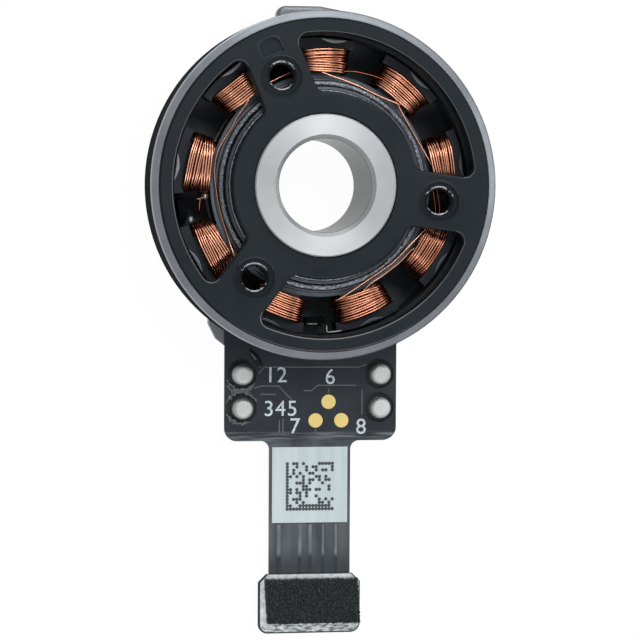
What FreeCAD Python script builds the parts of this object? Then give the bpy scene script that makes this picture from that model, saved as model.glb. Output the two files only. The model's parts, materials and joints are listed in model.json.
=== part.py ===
"""Gimbal motor: a hollow-shaft outrunner with nine wound teeth, twelve magnets and a flexible circuit tail.

The motor lies on its rear face: the rotor axis is +Z, towards the spoked cap, and the tail points to -Y.
The origin is on the axis, in the plane of the rear face. Lengths are millimetres, angles degrees.
"""
import FreeCAD, Part
import Sketcher

import math
import os

SIZES = {
    # heights, from the rear face up
    "base_floor": 1.0,
    "stator_seat": 2.1,
    "stator_stack": 1.8,
    "coil_build": 0.85,
    "winding_clearance": 0.55,
    "cap_thickness": 0.7,
    "shaft_proud": 0.2,
    "tube_clearance": 0.2,
    "bearing_width": 2.5,
    "tube_shoulder": 0.4,
    "lip_height": 0.5,
    "lip_bevel": 0.14,
    "washer_thickness": 0.25,
    "clip_thickness": 0.3,
    "shaft_end": 0.15,
    "ring_overhang": 0.4,
    "ring_step": 0.06,
    "bevel_height": 0.35,
    "magnet_height": 2.4,
    "rim_gap": 0.3,
    # radial build, from the axis out
    "bore_radius": 3.1,
    "shaft_wall": 0.9,
    "flange_width": 0.7,
    "hub_width": 1.5,
    "bearing_section": 2.0,
    "tube_wall": 0.75,
    "tube_flange": 0.45,
    "lip_width": 0.55,
    "shoulder_width": 0.5,
    "yoke_width": 0.65,
    "tooth_length": 1.8,
    "shoe_thickness": 0.6,
    "air_gap": 0.15,
    "magnet_thickness": 0.65,
    "ring_wall": 0.93,
    "cap_seat": 0.35,
    "cap_band": 0.91,
    # fits and play
    "press_fit": 0.01,
    "winding_fit": 0.03,
    "ball_play": 0.02,
    "board_play": 0.15,
    # shaft, cap and ring details
    "bore_chamfer": 0.27,
    "clip_groove": 0.3,
    "clip_width": 0.9,
    "clip_opening": 50,
    "washer_width": 0.55,
    "spoke_width": 3.76,
    "window_corner": 0.6,
    "window_edge": 0.18,
    "hole_offset": 1.5,
    "hole_radius": 0.8,
    "hole_chamfer": 0.2,
    "spot_radius": 1.25,
    "spot_depth": 0.06,
    "index_width": 1.5,
    "index_length": 1.1,
    "index_bevel": 0.4,
    "index_overlap": 0.3,
    "index_depth": 0.2,
    "edge_break": 0.08,
    "cap_turn": 112.4,
    # magnets, core and windings
    "magnet_gap": 1.5,
    "tooth_width": 2.5,
    "shoe_span": 26.5,
    "tooth_turn": 10,
    "coil_inner_width": 3.6,
    "coil_outer_width": 4.3,
    "coil_round": 0.8,
    "wire_radius": 0.07,
    "wire_height": 0.4,
    "wire_step": 0.16,
    "collar_gap": 0.08,
    "collar_width": 0.33,
    "collar_height": 0.3,
    "collar_bevel": 0.08,
    # bearings
    "ball_radius": 0.5,
    "land_gap": 0.36,
    "cage_thickness": 0.4,
    "cage_width": 1.5,
    # base
    "base_inset": 0.43,
    "rim_wall": 0.6,
    "tab_width": 4.75,
    "tab_proud": 0.63,
    "tab_crown": 1.8,
    "tab_fall": 0.33,
    "tab_corner": 0.6,
    "tab_edge": 0.25,
    "ear_width": 13.9,
    "ear_rise": 1.7,
    "ear_taper": 0.5,
    "ear_length": 1.0,
    "carrier_inset": 0.35,
    "carrier_corner": 0.8,
    "boss_inset": 1.1,
    "boss_radius": 1.2,
    "boss_height": 1.0,
    "mount_depth": 1.6,
    # flexible circuit and what it carries
    "flex_thickness": 0.2,
    "board_width": 11.84,
    "board_length": 6.27,
    "board_corner": 0.9,
    "board_lip": 0.6,
    "bend_length": 0.8,
    "bend_drop": 0.25,
    "tail_width": 5.6,
    "tail_length": 9.13,
    "tail_fillet": 0.6,
    "stiffener_thickness": 0.3,
    "stiffener_inset": 0.1,
    "pin_radius": 0.71,
    "pin_relief": 0.3,
    "pin_height": 0.75,
    "pin_round": 0.3,
    "pin_inset": 1.19,
    "pin_end": 2.27,
    "pin_pitch": 2.3,
    "pad_radius": 0.49,
    "pad_thickness": 0.03,
    "pad_end": 1.4,
    "pad_rise": 1.27,
    "pad_pitch": 1.78,
    "pad_shift": 1.23,
    "label_width": 5.2,
    "label_length": 5.18,
    "label_gap": 0.43,
    "label_thickness": 0.05,
    "end_width": 7.05,
    "end_length": 4.07,
    "end_corner": 0.55,
    "end_round": 0.65,
    "plate_inset": 0.12,
    "plate_thickness": 0.2,
    "foam_width": 6.45,
    "foam_length": 3.13,
    "foam_shift": 0.14,
    "foam_rise": 0.185,
    "foam_lean": 0.1,
    "foam_thickness": 0.45,
    "foam_corner": 0.3,
    "plug_width": 5.4,
    "plug_length": 2.3,
    "plug_height": 0.7,
    "plug_wall": 0.45,
    "plug_floor": 0.2,
    "contact_width": 0.16,
    "contact_pitch": 0.4,
    "contact_height": 0.3,
    "contact_depth": 0.25,
    "sensor_width": 1.3,
    "sensor_depth": 0.55,
    "sensor_height": 1.3,
    "sensor_stand": 0.6,
    "sensor_inset": 0.4,
    "lead_width": 0.2,
    "lead_pitch": 0.4,
}
SPOKES = 3
TEETH = 9
MAGNETS = 12
BALLS = 10
MOUNT_HOLES = 3
CONTACTS = 10
SENSOR_TURNS = (270.0, 190.0)
WIRE_RUNS = ((0, 1, 2), (2, 3, 4, 5), (7, 8, 9))
SAME_PLACE = 0.001

doc = FreeCAD.newDocument("GimbalMotor")
sheet = doc.addObject("Spreadsheet::Sheet", "Sizes")


class Value:
    """A number together with the sheet expression that gives it, so both follow the same arithmetic."""

    def __init__(self, number, text):
        self.number = number
        self.text = text

    def joined(self, sign, other, swap=False):
        other = as_value(other)
        first, second = (other, self) if swap else (self, other)
        results = {
            "+": first.number + second.number,
            "-": first.number - second.number,
            "*": first.number * second.number,
        }
        return Value(results[sign], f"({first.text} {sign} {second.text})")

    def __add__(self, other):
        return self.joined("+", other)

    def __sub__(self, other):
        return self.joined("-", other)

    def __rsub__(self, other):
        return self.joined("-", other, swap=True)

    def __mul__(self, other):
        return self.joined("*", other)

    def __neg__(self):
        return self.joined("*", -1)

    def __truediv__(self, divisor):
        return Value(self.number / divisor, f"({self.text} / {divisor})")


def as_value(number):
    """Wraps a plain number; values pass through."""
    return number if isinstance(number, Value) else Value(number, f"({number:.9g})")


def size(name):
    """The named driving dimension."""
    return Value(SIZES[name], f"Sizes.{name}")


for row, (alias, number) in enumerate(SIZES.items(), start=1):
    sheet.set(f"A{row}", alias)
    sheet.set(f"B{row}", str(number))
    sheet.setAlias(f"B{row}", alias)
doc.recompute()

ZERO = as_value(0)
FIT = size("press_fit")

# Heights that several pieces share.
floor_top = size("base_floor")
seat_top = floor_top + size("stator_seat")
stack_top = seat_top + size("stator_stack")
stack_middle = seat_top + size("stator_stack") / 2
cap_underside = stack_top + size("coil_build") + size("winding_clearance")
cap_face = cap_underside + size("cap_thickness")
shaft_face = cap_face + size("shaft_proud")
tube_top = cap_underside - size("tube_clearance")
front_bearing_level = tube_top - size("bearing_width")
rear_bearing_top = front_bearing_level - size("tube_shoulder")
rear_bearing_level = rear_bearing_top - size("bearing_width")
washer_level = rear_bearing_level - size("washer_thickness")
clip_level = washer_level - size("clip_thickness")
shaft_rear = clip_level - size("shaft_end")
ring_rear = seat_top - size("ring_overhang")
ring_face = cap_face - size("ring_step")
flex_top = floor_top + size("flex_thickness")
tail_bottom = floor_top - size("bend_drop")
tail_top = tail_bottom + size("flex_thickness")
carrier_top = floor_top - size("stiffener_thickness")

# Radii that several pieces share.
shaft_radius = size("bore_radius") + size("shaft_wall")
flange_radius = shaft_radius + size("flange_width")
hub_radius = flange_radius + size("hub_width")
hole_circle = hub_radius + size("hole_offset")
bearing_radius = shaft_radius + size("bearing_section")
ball_circle = shaft_radius + size("bearing_section") / 2
tube_radius = bearing_radius + size("tube_wall")
seat_radius = tube_radius + size("tube_flange")
yoke_radius = tube_radius + size("yoke_width")
shoe_inner = yoke_radius + size("tooth_length")
stator_radius = shoe_inner + size("shoe_thickness")
magnet_inner = stator_radius + size("air_gap")
ring_inner = magnet_inner + size("magnet_thickness")
cap_radius = ring_inner + size("cap_seat")
ring_radius = ring_inner + size("ring_wall")
window_outer = cap_radius - size("cap_band")
base_radius = ring_radius - size("base_inset")
rim_inner = base_radius - size("rim_wall")
boss_circle = rim_inner - size("boss_inset")
flex_inner = seat_radius + size("board_play")
flex_outer = rim_inner - size("board_play")

# Places along the tail, as distances from the axis.
board_reach = base_radius + size("board_length")
bend_start = board_reach - size("board_lip")
bend_end = bend_start + size("bend_length")
tail_reach = board_reach + size("tail_length")
end_reach = tail_reach + size("end_length")
plug_middle = tail_reach + size("end_length") / 2


def bind(item, attribute, value):
    """Ties one property of a document object to its sheet expression."""
    item.setExpression(attribute, as_value(value).text)


def new_body(label, turn=None):
    """An empty body, turned about the axis when an angle is given."""
    body = doc.addObject("PartDesign::Body", label)
    body.Label = label
    if turn is not None:
        body.Placement = FreeCAD.Placement(FreeCAD.Vector(), FreeCAD.Rotation(FreeCAD.Vector(0, 0, 1), 1))
        bind(body, "Placement.Rotation.Angle", turn)
    return body


def origin_feature(body, role):
    """The body's own origin plane or axis of that role."""
    return next(feature for feature in body.Origin.OriginFeatures if feature.Role == role)


def new_sketch(body, plane, name, level=ZERO):
    """An empty sketch on an origin plane of the body, raised by level along the plane's normal."""
    sketch = body.newObject("Sketcher::SketchObject", name)
    sketch.AttachmentSupport = [(origin_feature(body, plane), "")]
    sketch.MapMode = "FlatFace"
    bind(sketch, "AttachmentOffset.Base.z", level)
    return sketch


def hold(sketch, kind, value, *elements):
    """One driven constraint of the sketch, bound to its value."""
    value = as_value(value)
    index = sketch.addConstraint(Sketcher.Constraint(kind, *elements, value.number))
    sketch.setExpression(f"Constraints[{index}]", value.text)


def hold_point(sketch, element, point, place):
    """Pins one point of the sketch at a place given from the origin."""
    hold(sketch, "DistanceX", place[0], -1, 1, element, point)
    hold(sketch, "DistanceY", place[1], -1, 1, element, point)


def add_outline(sketch, corners):
    """A closed outline of straight edges through the corners."""
    corners = [(as_value(across), as_value(up)) for across, up in corners]
    points = [FreeCAD.Vector(across.number, up.number, 0) for across, up in corners]
    first = sketch.GeometryCount
    count = len(points)
    for edge in range(count):
        sketch.addGeometry(Part.LineSegment(points[edge], points[(edge + 1) % count]))
    for edge in range(count):
        following = first + (edge + 1) % count
        sketch.addConstraint(Sketcher.Constraint("Coincident", first + edge, 2, following, 1))
        hold_point(sketch, first + edge, 1, corners[edge])


def add_circle(sketch, across, up, radius):
    """A full circle with a bound centre and radius."""
    across = as_value(across)
    up = as_value(up)
    centre = FreeCAD.Vector(across.number, up.number, 0)
    element = sketch.addGeometry(Part.Circle(centre, FreeCAD.Vector(0, 0, 1), radius.number))
    hold_point(sketch, element, 3, (across, up))
    hold(sketch, "Radius", radius, element)


def mirrored_corners(half):
    """Adds the mirror image in the vertical axis, so that one half outline becomes a closed one."""
    half = [(as_value(across), as_value(up)) for across, up in half]
    return half + [(-across, up) for across, up in reversed(half)]


def outline_sketch(body, plane, name, corners, level=ZERO):
    """A sketch that holds one straight-edged outline."""
    sketch = new_sketch(body, plane, name, level)
    add_outline(sketch, corners)
    return sketch


def circle_sketch(body, name, circles, level=ZERO):
    """A sketch across the axis that holds circles given as (across, up, radius)."""
    sketch = new_sketch(body, "XY_Plane", name, level)
    for across, up, radius in circles:
        add_circle(sketch, across, up, radius)
    return sketch


def pad(body, name, sketch, length):
    """Raises the sketch along its normal."""
    feature = body.newObject("PartDesign::Pad", name)
    feature.Profile = sketch
    bind(feature, "Length", length)
    return feature


def pocket(body, name, sketch, depth, along_normal=False):
    """Cuts the sketch into the body, against its normal unless told otherwise."""
    doc.recompute()
    before = body.Shape.Volume
    feature = body.newObject("PartDesign::Pocket", name)
    feature.Profile = sketch
    feature.Reversed = along_normal
    bind(feature, "Length", depth)
    doc.recompute()
    if not feature.Shape.Volume < before:
        raise RuntimeError(f"{body.Label}: {name} cuts nothing")
    return feature


def revolve(body, name, corners, span=None):
    """Turns an outline of (radius, height) corners round the axis, all the way or over a centred span."""
    sketch = outline_sketch(body, "XZ_Plane", name + "_profile", corners)
    feature = body.newObject("PartDesign::Revolution", name)
    feature.Profile = sketch
    feature.ReferenceAxis = (sketch, ["V_Axis"])
    if span is not None:
        feature.Midplane = True
        bind(feature, "Angle", span)
    return feature


def rectangle(left, bottom, right, top):
    """The four corners of an upright rectangle."""
    return [(left, bottom), (right, bottom), (right, top), (left, top)]


def repeat_round(body, name, features, count):
    """Repeats features evenly round the axis."""
    pattern = body.newObject("PartDesign::PolarPattern", name)
    pattern.Originals = features
    pattern.Axis = (origin_feature(body, "Z_Axis"), [""])
    pattern.Angle = 360
    pattern.Occurrences = count
    body.Tip = pattern
    doc.recompute()
    return pattern


def dress_edges(body, kind, name, base, reach, wanted):
    """Rounds or bevels the edges of a feature that the test picks."""
    doc.recompute()
    edges = [f"Edge{index}" for index, edge in enumerate(base.Shape.Edges, start=1) if wanted(edge)]
    if not edges:
        raise RuntimeError(f"{body.Label}: {name} finds no edge")
    feature = body.newObject("PartDesign::" + kind, name)
    feature.Base = (base, edges)
    bind(feature, "Radius" if kind == "Fillet" else "Size", reach)
    doc.recompute()
    return feature


def near(number, value):
    """True where a measured number equals a value to a micrometre."""
    return abs(number - value.number) < SAME_PLACE


def is_upright(edge):
    """True for a straight edge parallel to the axis."""
    direction = edge.Vertexes[-1].Point - edge.Vertexes[0].Point
    return isinstance(edge.Curve, Part.Line) and math.hypot(direction.x, direction.y) < SAME_PLACE


def lies_at(edge, height):
    """True for an edge that lies flat at that height."""
    box = edge.BoundBox
    return near(box.ZMin, height) and near(box.ZMax, height)


def hollow_shaft():
    """Turned sleeve: bored through, with a flange at the face and a clip groove at the rear."""
    body = new_body("hollow_shaft")
    bore = size("bore_radius")
    chamfer = size("bore_chamfer")
    edge = size("edge_break")
    groove = shaft_radius - size("clip_groove")
    revolve(body, "sleeve", [
        (bore, shaft_rear),
        (shaft_radius, shaft_rear),
        (shaft_radius, clip_level),
        (groove, clip_level),
        (groove, washer_level),
        (shaft_radius, washer_level),
        (shaft_radius, tube_top),
        (flange_radius, tube_top),
        (flange_radius, shaft_face - edge),
        (flange_radius - edge, shaft_face),
        (bore + chamfer, shaft_face),
        (bore, shaft_face - chamfer),
    ])
    return body


def rotor_cap():
    """Three-spoke cap: hub and outer band joined by parallel-sided spokes, each with a threaded hole."""
    body = new_body("rotor_cap", size("cap_turn"))
    edge = size("edge_break")
    outer = cap_radius - FIT
    hub = flange_radius + FIT
    revolve(body, "hub", rectangle(hub, cap_underside, hub_radius, cap_face))
    half_spoke = size("spoke_width") / 2
    spoke_start = hub + size("hub_width") / 2
    spoke_end = cap_radius - size("cap_band") / 2
    spoke_outline = rectangle(spoke_start, -half_spoke, spoke_end, half_spoke)
    spoke = pad(body, "spoke", outline_sketch(body, "XY_Plane", "spoke_plan", spoke_outline, cap_underside),
                size("cap_thickness"))
    repeat_round(body, "spokes", [spoke], SPOKES)
    band = revolve(body, "band", [
        (window_outer, cap_underside),
        (outer, cap_underside),
        (outer, cap_face - edge),
        (outer - edge, cap_face),
        (window_outer, cap_face),
    ])
    rounded = dress_edges(body, "Fillet", "window_corners", band, size("window_corner"), is_upright)

    def on_window_rim(rim):
        return lies_at(rim, cap_face) and not rim.isClosed()

    dress_edges(body, "Fillet", "window_lips", rounded, size("window_edge"), on_window_rim)
    spot = pocket(body, "spot_face", circle_sketch(
        body, "spot_plan", [(hole_circle, ZERO, size("spot_radius"))], cap_face), size("spot_depth"))
    hole = pocket(body, "screw_hole", circle_sketch(
        body, "hole_plan", [(hole_circle, ZERO, size("hole_radius"))], cap_face), size("cap_thickness"))
    repeat_round(body, "holes", [spot, hole], SPOKES)
    floor = cap_face - size("spot_depth")

    def on_hole_mouth(rim):
        return lies_at(rim, floor) and isinstance(rim.Curve, Part.Circle) and near(
            rim.Curve.Radius, size("hole_radius"))

    dress_edges(body, "Chamfer", "hole_mouths", body.Tip, size("hole_chamfer"), on_hole_mouth)
    half_mark = size("index_width") / 2
    mark_end = window_outer + size("index_overlap")
    bevel = size("index_bevel")
    mark = [
        (mark_end - size("index_length"), -half_mark),
        (mark_end - bevel, -half_mark),
        (mark_end, bevel - half_mark),
        (mark_end, half_mark - bevel),
        (mark_end - bevel, half_mark),
        (mark_end - size("index_length"), half_mark),
    ]
    mark_plan = outline_sketch(body, "XY_Plane", "mark_plan", mark, cap_face)
    pocket(body, "index_mark", mark_plan, size("index_depth"))
    return body


def rotor_ring():
    """Flux ring: a plain tube with a ledge for the cap and a bevelled front edge."""
    body = new_body("rotor_ring")
    edge = size("edge_break")
    revolve(body, "ring", [
        (ring_inner, ring_rear),
        (ring_radius - edge, ring_rear),
        (ring_radius, ring_rear + edge),
        (ring_radius, ring_face - size("bevel_height")),
        (cap_radius + edge, ring_face),
        (cap_radius, ring_face - edge),
        (cap_radius, cap_underside),
        (ring_inner, cap_underside),
    ])
    return body


def magnet(index):
    """One arc magnet, bonded inside the flux ring at the height of the core."""
    pitch = 360 / MAGNETS
    body = new_body(f"magnet_{index + 1:02d}", as_value(pitch * (index + 0.5)))
    half_height = size("magnet_height") / 2
    bottom = stack_middle - half_height
    outline = rectangle(magnet_inner, bottom, ring_inner - FIT, stack_middle + half_height)
    revolve(body, "arc", outline, pitch - size("magnet_gap"))
    return body


def stator_core():
    """Laminated core: yoke with an insulating collar and nine parallel teeth, each with a curved shoe."""
    body = new_body("stator_core", size("tooth_turn"))
    half_tooth = size("tooth_width") / 2
    revolve(body, "yoke", rectangle(tube_radius + FIT, seat_top, yoke_radius, stack_top))
    collar_inner = tube_radius + size("collar_gap")
    collar_outer = collar_inner + size("collar_width")
    collar_top = stack_top + size("collar_height")
    bevel = size("collar_bevel")
    revolve(body, "collar", [
        (collar_inner, stack_middle),
        (collar_outer, stack_middle),
        (collar_outer, collar_top - bevel),
        (collar_outer - bevel, collar_top),
        (collar_inner + bevel, collar_top),
        (collar_inner, collar_top - bevel),
    ])
    tooth_outline = rectangle(tube_radius + size("yoke_width") / 2, -half_tooth,
                              shoe_inner + size("shoe_thickness") / 2, half_tooth)
    tooth = pad(body, "tooth", outline_sketch(body, "XY_Plane", "tooth_plan", tooth_outline, seat_top),
                size("stator_stack"))
    shoe = revolve(body, "shoe", rectangle(shoe_inner, seat_top, stator_radius, stack_top), size("shoe_span"))
    repeat_round(body, "teeth", [tooth, shoe], TEETH)
    return body


def coil(index):
    """One winding: a tapered, round-shouldered block with the tooth through it."""
    turn = size("tooth_turn") + 360 / TEETH * index
    body = new_body(f"coil_{index + 1}", turn)
    inner = yoke_radius + size("winding_fit")
    outer = shoe_inner - size("winding_fit")
    height = size("stator_stack") + size("coil_build") * 2
    half_inner = size("coil_inner_width") / 2
    half_outer = size("coil_outer_width") / 2
    bottom = seat_top - size("coil_build")
    top = stack_top + size("coil_build")
    corners = [(inner, -half_inner), (outer, -half_outer), (outer, half_outer), (inner, half_inner)]
    block = pad(body, "block", outline_sketch(body, "XY_Plane", "block_plan", corners, bottom), height)

    def along_tooth(edge):
        flat = lies_at(edge, bottom) or lies_at(edge, top)
        return flat and abs(edge.CenterOfMass.y) > half_inner.number / 2

    dress_edges(body, "Fillet", "shoulders", block, size("coil_round"), along_tooth)
    shoe_circles = [(ZERO, ZERO, outer), (ZERO, ZERO, ring_radius)]
    pocket(body, "shoe_face", circle_sketch(body, "shoe_plan", shoe_circles, bottom), height, True)
    half_slot = size("tooth_width") / 2 + size("winding_fit")
    slot = rectangle(-half_slot, seat_top - size("winding_fit"), half_slot, stack_top + size("winding_fit"))
    pocket(body, "tooth_slot", outline_sketch(body, "YZ_Plane", "slot_plan", slot), stator_radius, True)
    return body


def phase_wire(index):
    """One crossover wire: straight runs from coil to coil, close above the yoke."""
    radius = size("wire_radius")
    circle = yoke_radius - radius
    height = stack_top + size("wire_height") + size("wire_step") * index
    pitch = 360 / TEETH
    teeth = WIRE_RUNS[index]
    pieces = []
    for order, tooth in enumerate(teeth):
        angle = math.radians(SIZES["tooth_turn"] + pitch * tooth)
        ends = []
        if 0 < order < len(teeth) - 1:
            ends.append(doc.addObject("Part::Sphere", f"knot_{index}_{order}"))
        if order + 1 < len(teeth):
            run = doc.addObject("Part::Cylinder", f"run_{index}_{order}")
            bind(run, "Height", circle * (2 * math.sin(math.radians(pitch / 2))))
            across = angle + math.radians(pitch / 2)
            heading = FreeCAD.Vector(-math.sin(across), math.cos(across), 0)
            run.Placement.Rotation = FreeCAD.Rotation(FreeCAD.Vector(0, 0, 1), heading)
            ends.append(run)
        for item in ends:
            bind(item, "Radius", radius)
            bind(item, "Placement.Base.x", circle * math.cos(angle))
            bind(item, "Placement.Base.y", circle * math.sin(angle))
            bind(item, "Placement.Base.z", height)
        pieces += ends
    label = f"phase_wire_{index + 1}"
    if len(pieces) == 1:
        pieces[0].Label = label
        return pieces[0]
    wire = doc.addObject("Part::MultiFuse", label)
    wire.Shapes = pieces
    return wire


def bearing_tube():
    """Black tube: seats the core outside and two bearings inside, and ends in a narrower bevelled lip."""
    body = new_body("bearing_tube")
    bore = bearing_radius + FIT
    neck = bearing_radius - size("shoulder_width")
    lip = bore + size("lip_width")
    lip_level = tube_top - size("lip_height")
    bevel = size("lip_bevel")
    revolve(body, "tube", [
        (bore, ZERO),
        (tube_radius, ZERO),
        (tube_radius, floor_top),
        (seat_radius, floor_top),
        (seat_radius, seat_top),
        (tube_radius, seat_top),
        (tube_radius, lip_level),
        (lip, lip_level),
        (lip, tube_top - bevel),
        (lip - bevel, tube_top),
        (bore, tube_top),
        (bore, front_bearing_level),
        (neck, front_bearing_level),
        (neck, rear_bearing_top),
        (bore, rear_bearing_top),
    ])
    return body


def bearing(name, level):
    """One ball bearing: two grooved rings, a ring of balls and the cage that spaces them."""
    top = level + size("bearing_width")
    middle = level + size("bearing_width") / 2
    groove_radius = size("ball_radius") + size("ball_play")
    land = size("land_gap")
    spans = {
        "inner_ring": (shaft_radius + FIT, ball_circle - land),
        "outer_ring": (ball_circle + land, bearing_radius),
    }
    pieces = []
    for ring_name, (inner, outer) in spans.items():
        ring = new_body(f"{name}_{ring_name}")
        revolve(ring, "ring", rectangle(inner, level, outer, top))
        race = new_sketch(ring, "XZ_Plane", "race_profile")
        add_circle(race, ball_circle, middle, groove_radius)
        groove = ring.newObject("PartDesign::Groove", "race")
        groove.Profile = race
        groove.ReferenceAxis = (race, ["V_Axis"])
        pieces.append(ring)

    half_thickness = size("cage_thickness") / 2
    half_width = size("cage_width") / 2
    cage = new_body(f"{name}_cage")
    revolve(cage, "band", rectangle(ball_circle - half_thickness, middle - half_width,
                                    ball_circle + half_thickness, middle + half_width))
    window = new_sketch(cage, "YZ_Plane", "ball_window")
    add_circle(window, ZERO, middle, groove_radius)
    cut = pocket(cage, "ball_pocket", window, bearing_radius, True)
    repeat_round(cage, "ball_pockets", [cut], BALLS)
    pieces.append(cage)

    balls = []
    for order in range(BALLS):
        angle = 2 * math.pi * order / BALLS
        ball = doc.addObject("Part::Sphere", f"{name}_ball_{order}")
        bind(ball, "Radius", size("ball_radius"))
        bind(ball, "Placement.Base.x", ball_circle * math.cos(angle))
        bind(ball, "Placement.Base.y", ball_circle * math.sin(angle))
        bind(ball, "Placement.Base.z", middle)
        balls.append(ball)
    group = doc.addObject("Part::Compound", f"{name}_balls")
    group.Links = balls
    pieces.append(group)
    return pieces


def preload_washer():
    """Spring washer between the rear bearing's inner ring and the clip."""
    body = new_body("preload_washer")
    inner = shaft_radius + FIT
    revolve(body, "washer", rectangle(inner, washer_level, inner + size("washer_width"), rear_bearing_level))
    return body


def retaining_ring():
    """Open clip in the shaft's groove."""
    body = new_body("retaining_ring")
    inner = shaft_radius - size("clip_groove") + FIT
    outline = rectangle(inner, clip_level, inner + size("clip_width"), washer_level)
    revolve(body, "clip", outline, 360 - size("clip_opening"))
    return body


def base_frame():
    """Silver base: floor with a rim, a tab opposite the tail, two ears and the carrier of the board."""
    body = new_body("base_frame")
    floor = size("base_floor")
    carrier_half = size("board_width") / 2 - size("carrier_inset")
    ear_half = size("ear_width") / 2
    ear_drop = base_radius - size("ear_rise")
    tab_half = size("tab_width") / 2
    tab_end = ring_radius + size("tab_proud")
    pad(body, "floor", circle_sketch(body, "floor_plan", [(ZERO, ZERO, base_radius)]), floor)
    tab = [
        (-tab_half, tube_radius),
        (tab_half, tube_radius),
        (tab_half, tab_end - size("tab_fall")),
        (tab_half - size("tab_crown"), tab_end),
        (-tab_half, tab_end),
    ]
    tab_block = pad(body, "tab", outline_sketch(body, "XY_Plane", "tab_plan", tab), floor)

    def tab_corner(edge):
        return is_upright(edge) and edge.CenterOfMass.y > base_radius.number

    def tab_rim(edge):
        return lies_at(edge, floor) and edge.CenterOfMass.y > base_radius.number

    rounded = dress_edges(body, "Fillet", "tab_corners", tab_block, size("tab_corner"), tab_corner)
    dress_edges(body, "Fillet", "tab_edges", rounded, size("tab_edge"), tab_rim)
    ears = mirrored_corners([
        (ear_half, -tube_radius),
        (ear_half, -ear_drop),
        (ear_half - size("ear_taper"), -ear_drop - size("ear_length")),
        (carrier_half, -base_radius),
    ])
    pad(body, "ears", outline_sketch(body, "XY_Plane", "ear_plan", ears), floor)
    carrier = rectangle(-carrier_half, -bend_start, carrier_half, -tube_radius)
    plate = pad(body, "carrier", outline_sketch(body, "XY_Plane", "carrier_plan", carrier), carrier_top)

    def carrier_end(edge):
        return is_upright(edge) and near(edge.CenterOfMass.y, -bend_start)

    dress_edges(body, "Fillet", "carrier_corners", plate, size("carrier_corner"), carrier_end)
    rim_top = ring_rear - size("rim_gap")
    revolve(body, "rim", rectangle(rim_inner, floor / 2, base_radius, rim_top))
    bosses = [(across, up, size("boss_radius")) for across, up in boss_places()]
    pad(body, "bosses", circle_sketch(body, "boss_plan", bosses), floor + size("boss_height"))
    notch_half = size("board_width") / 2 + size("board_play")
    notch = rectangle(-notch_half, -base_radius - size("rim_wall"), notch_half, -flex_inner)
    pocket(body, "board_notch", outline_sketch(body, "XY_Plane", "notch_plan", notch, floor), rim_top, True)
    bore = circle_sketch(body, "tube_plan", [(ZERO, ZERO, tube_radius + FIT)])
    pocket(body, "tube_seat", bore, floor, True)
    mounts = [(across, up, size("hole_radius")) for across, up in boss_places()]
    pocket(body, "mount_holes", circle_sketch(body, "mount_plan", mounts), size("mount_depth"), True)
    pins = [(across, down, size("pin_radius") + FIT) for across, down in pin_places()]
    pocket(body, "pin_holes", circle_sketch(body, "pin_plan", pins), floor, True)
    return body


def boss_places():
    """Centres of the screw bosses, evenly round the axis from the tab on."""
    turns = [math.pi / 2 + 2 * math.pi * order / MOUNT_HOLES for order in range(MOUNT_HOLES)]
    return [(boss_circle * math.cos(turn), boss_circle * math.sin(turn)) for turn in turns]


def pin_places():
    """Centres of the four locating pins, in two rows."""
    half = size("board_width") / 2 - size("pin_inset")
    lower = size("pin_end") - board_reach
    rows = (lower + size("pin_pitch"), lower)
    return [(across, down) for across in (-half, half) for down in rows]


def board_stiffener():
    """Thin plate between the carrier and the board part of the circuit."""
    body = new_body("board_stiffener")
    half = size("board_width") / 2 - size("stiffener_inset")
    start = base_radius + size("board_play")
    outline = rectangle(-half, -bend_start, half, -start)
    sketch = outline_sketch(body, "XY_Plane", "plan", outline, carrier_top)
    for across, down in pin_places():
        add_circle(sketch, across, down, size("pin_radius") + FIT)
    pad(body, "plate", sketch, size("stiffener_thickness"))
    return body


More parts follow.
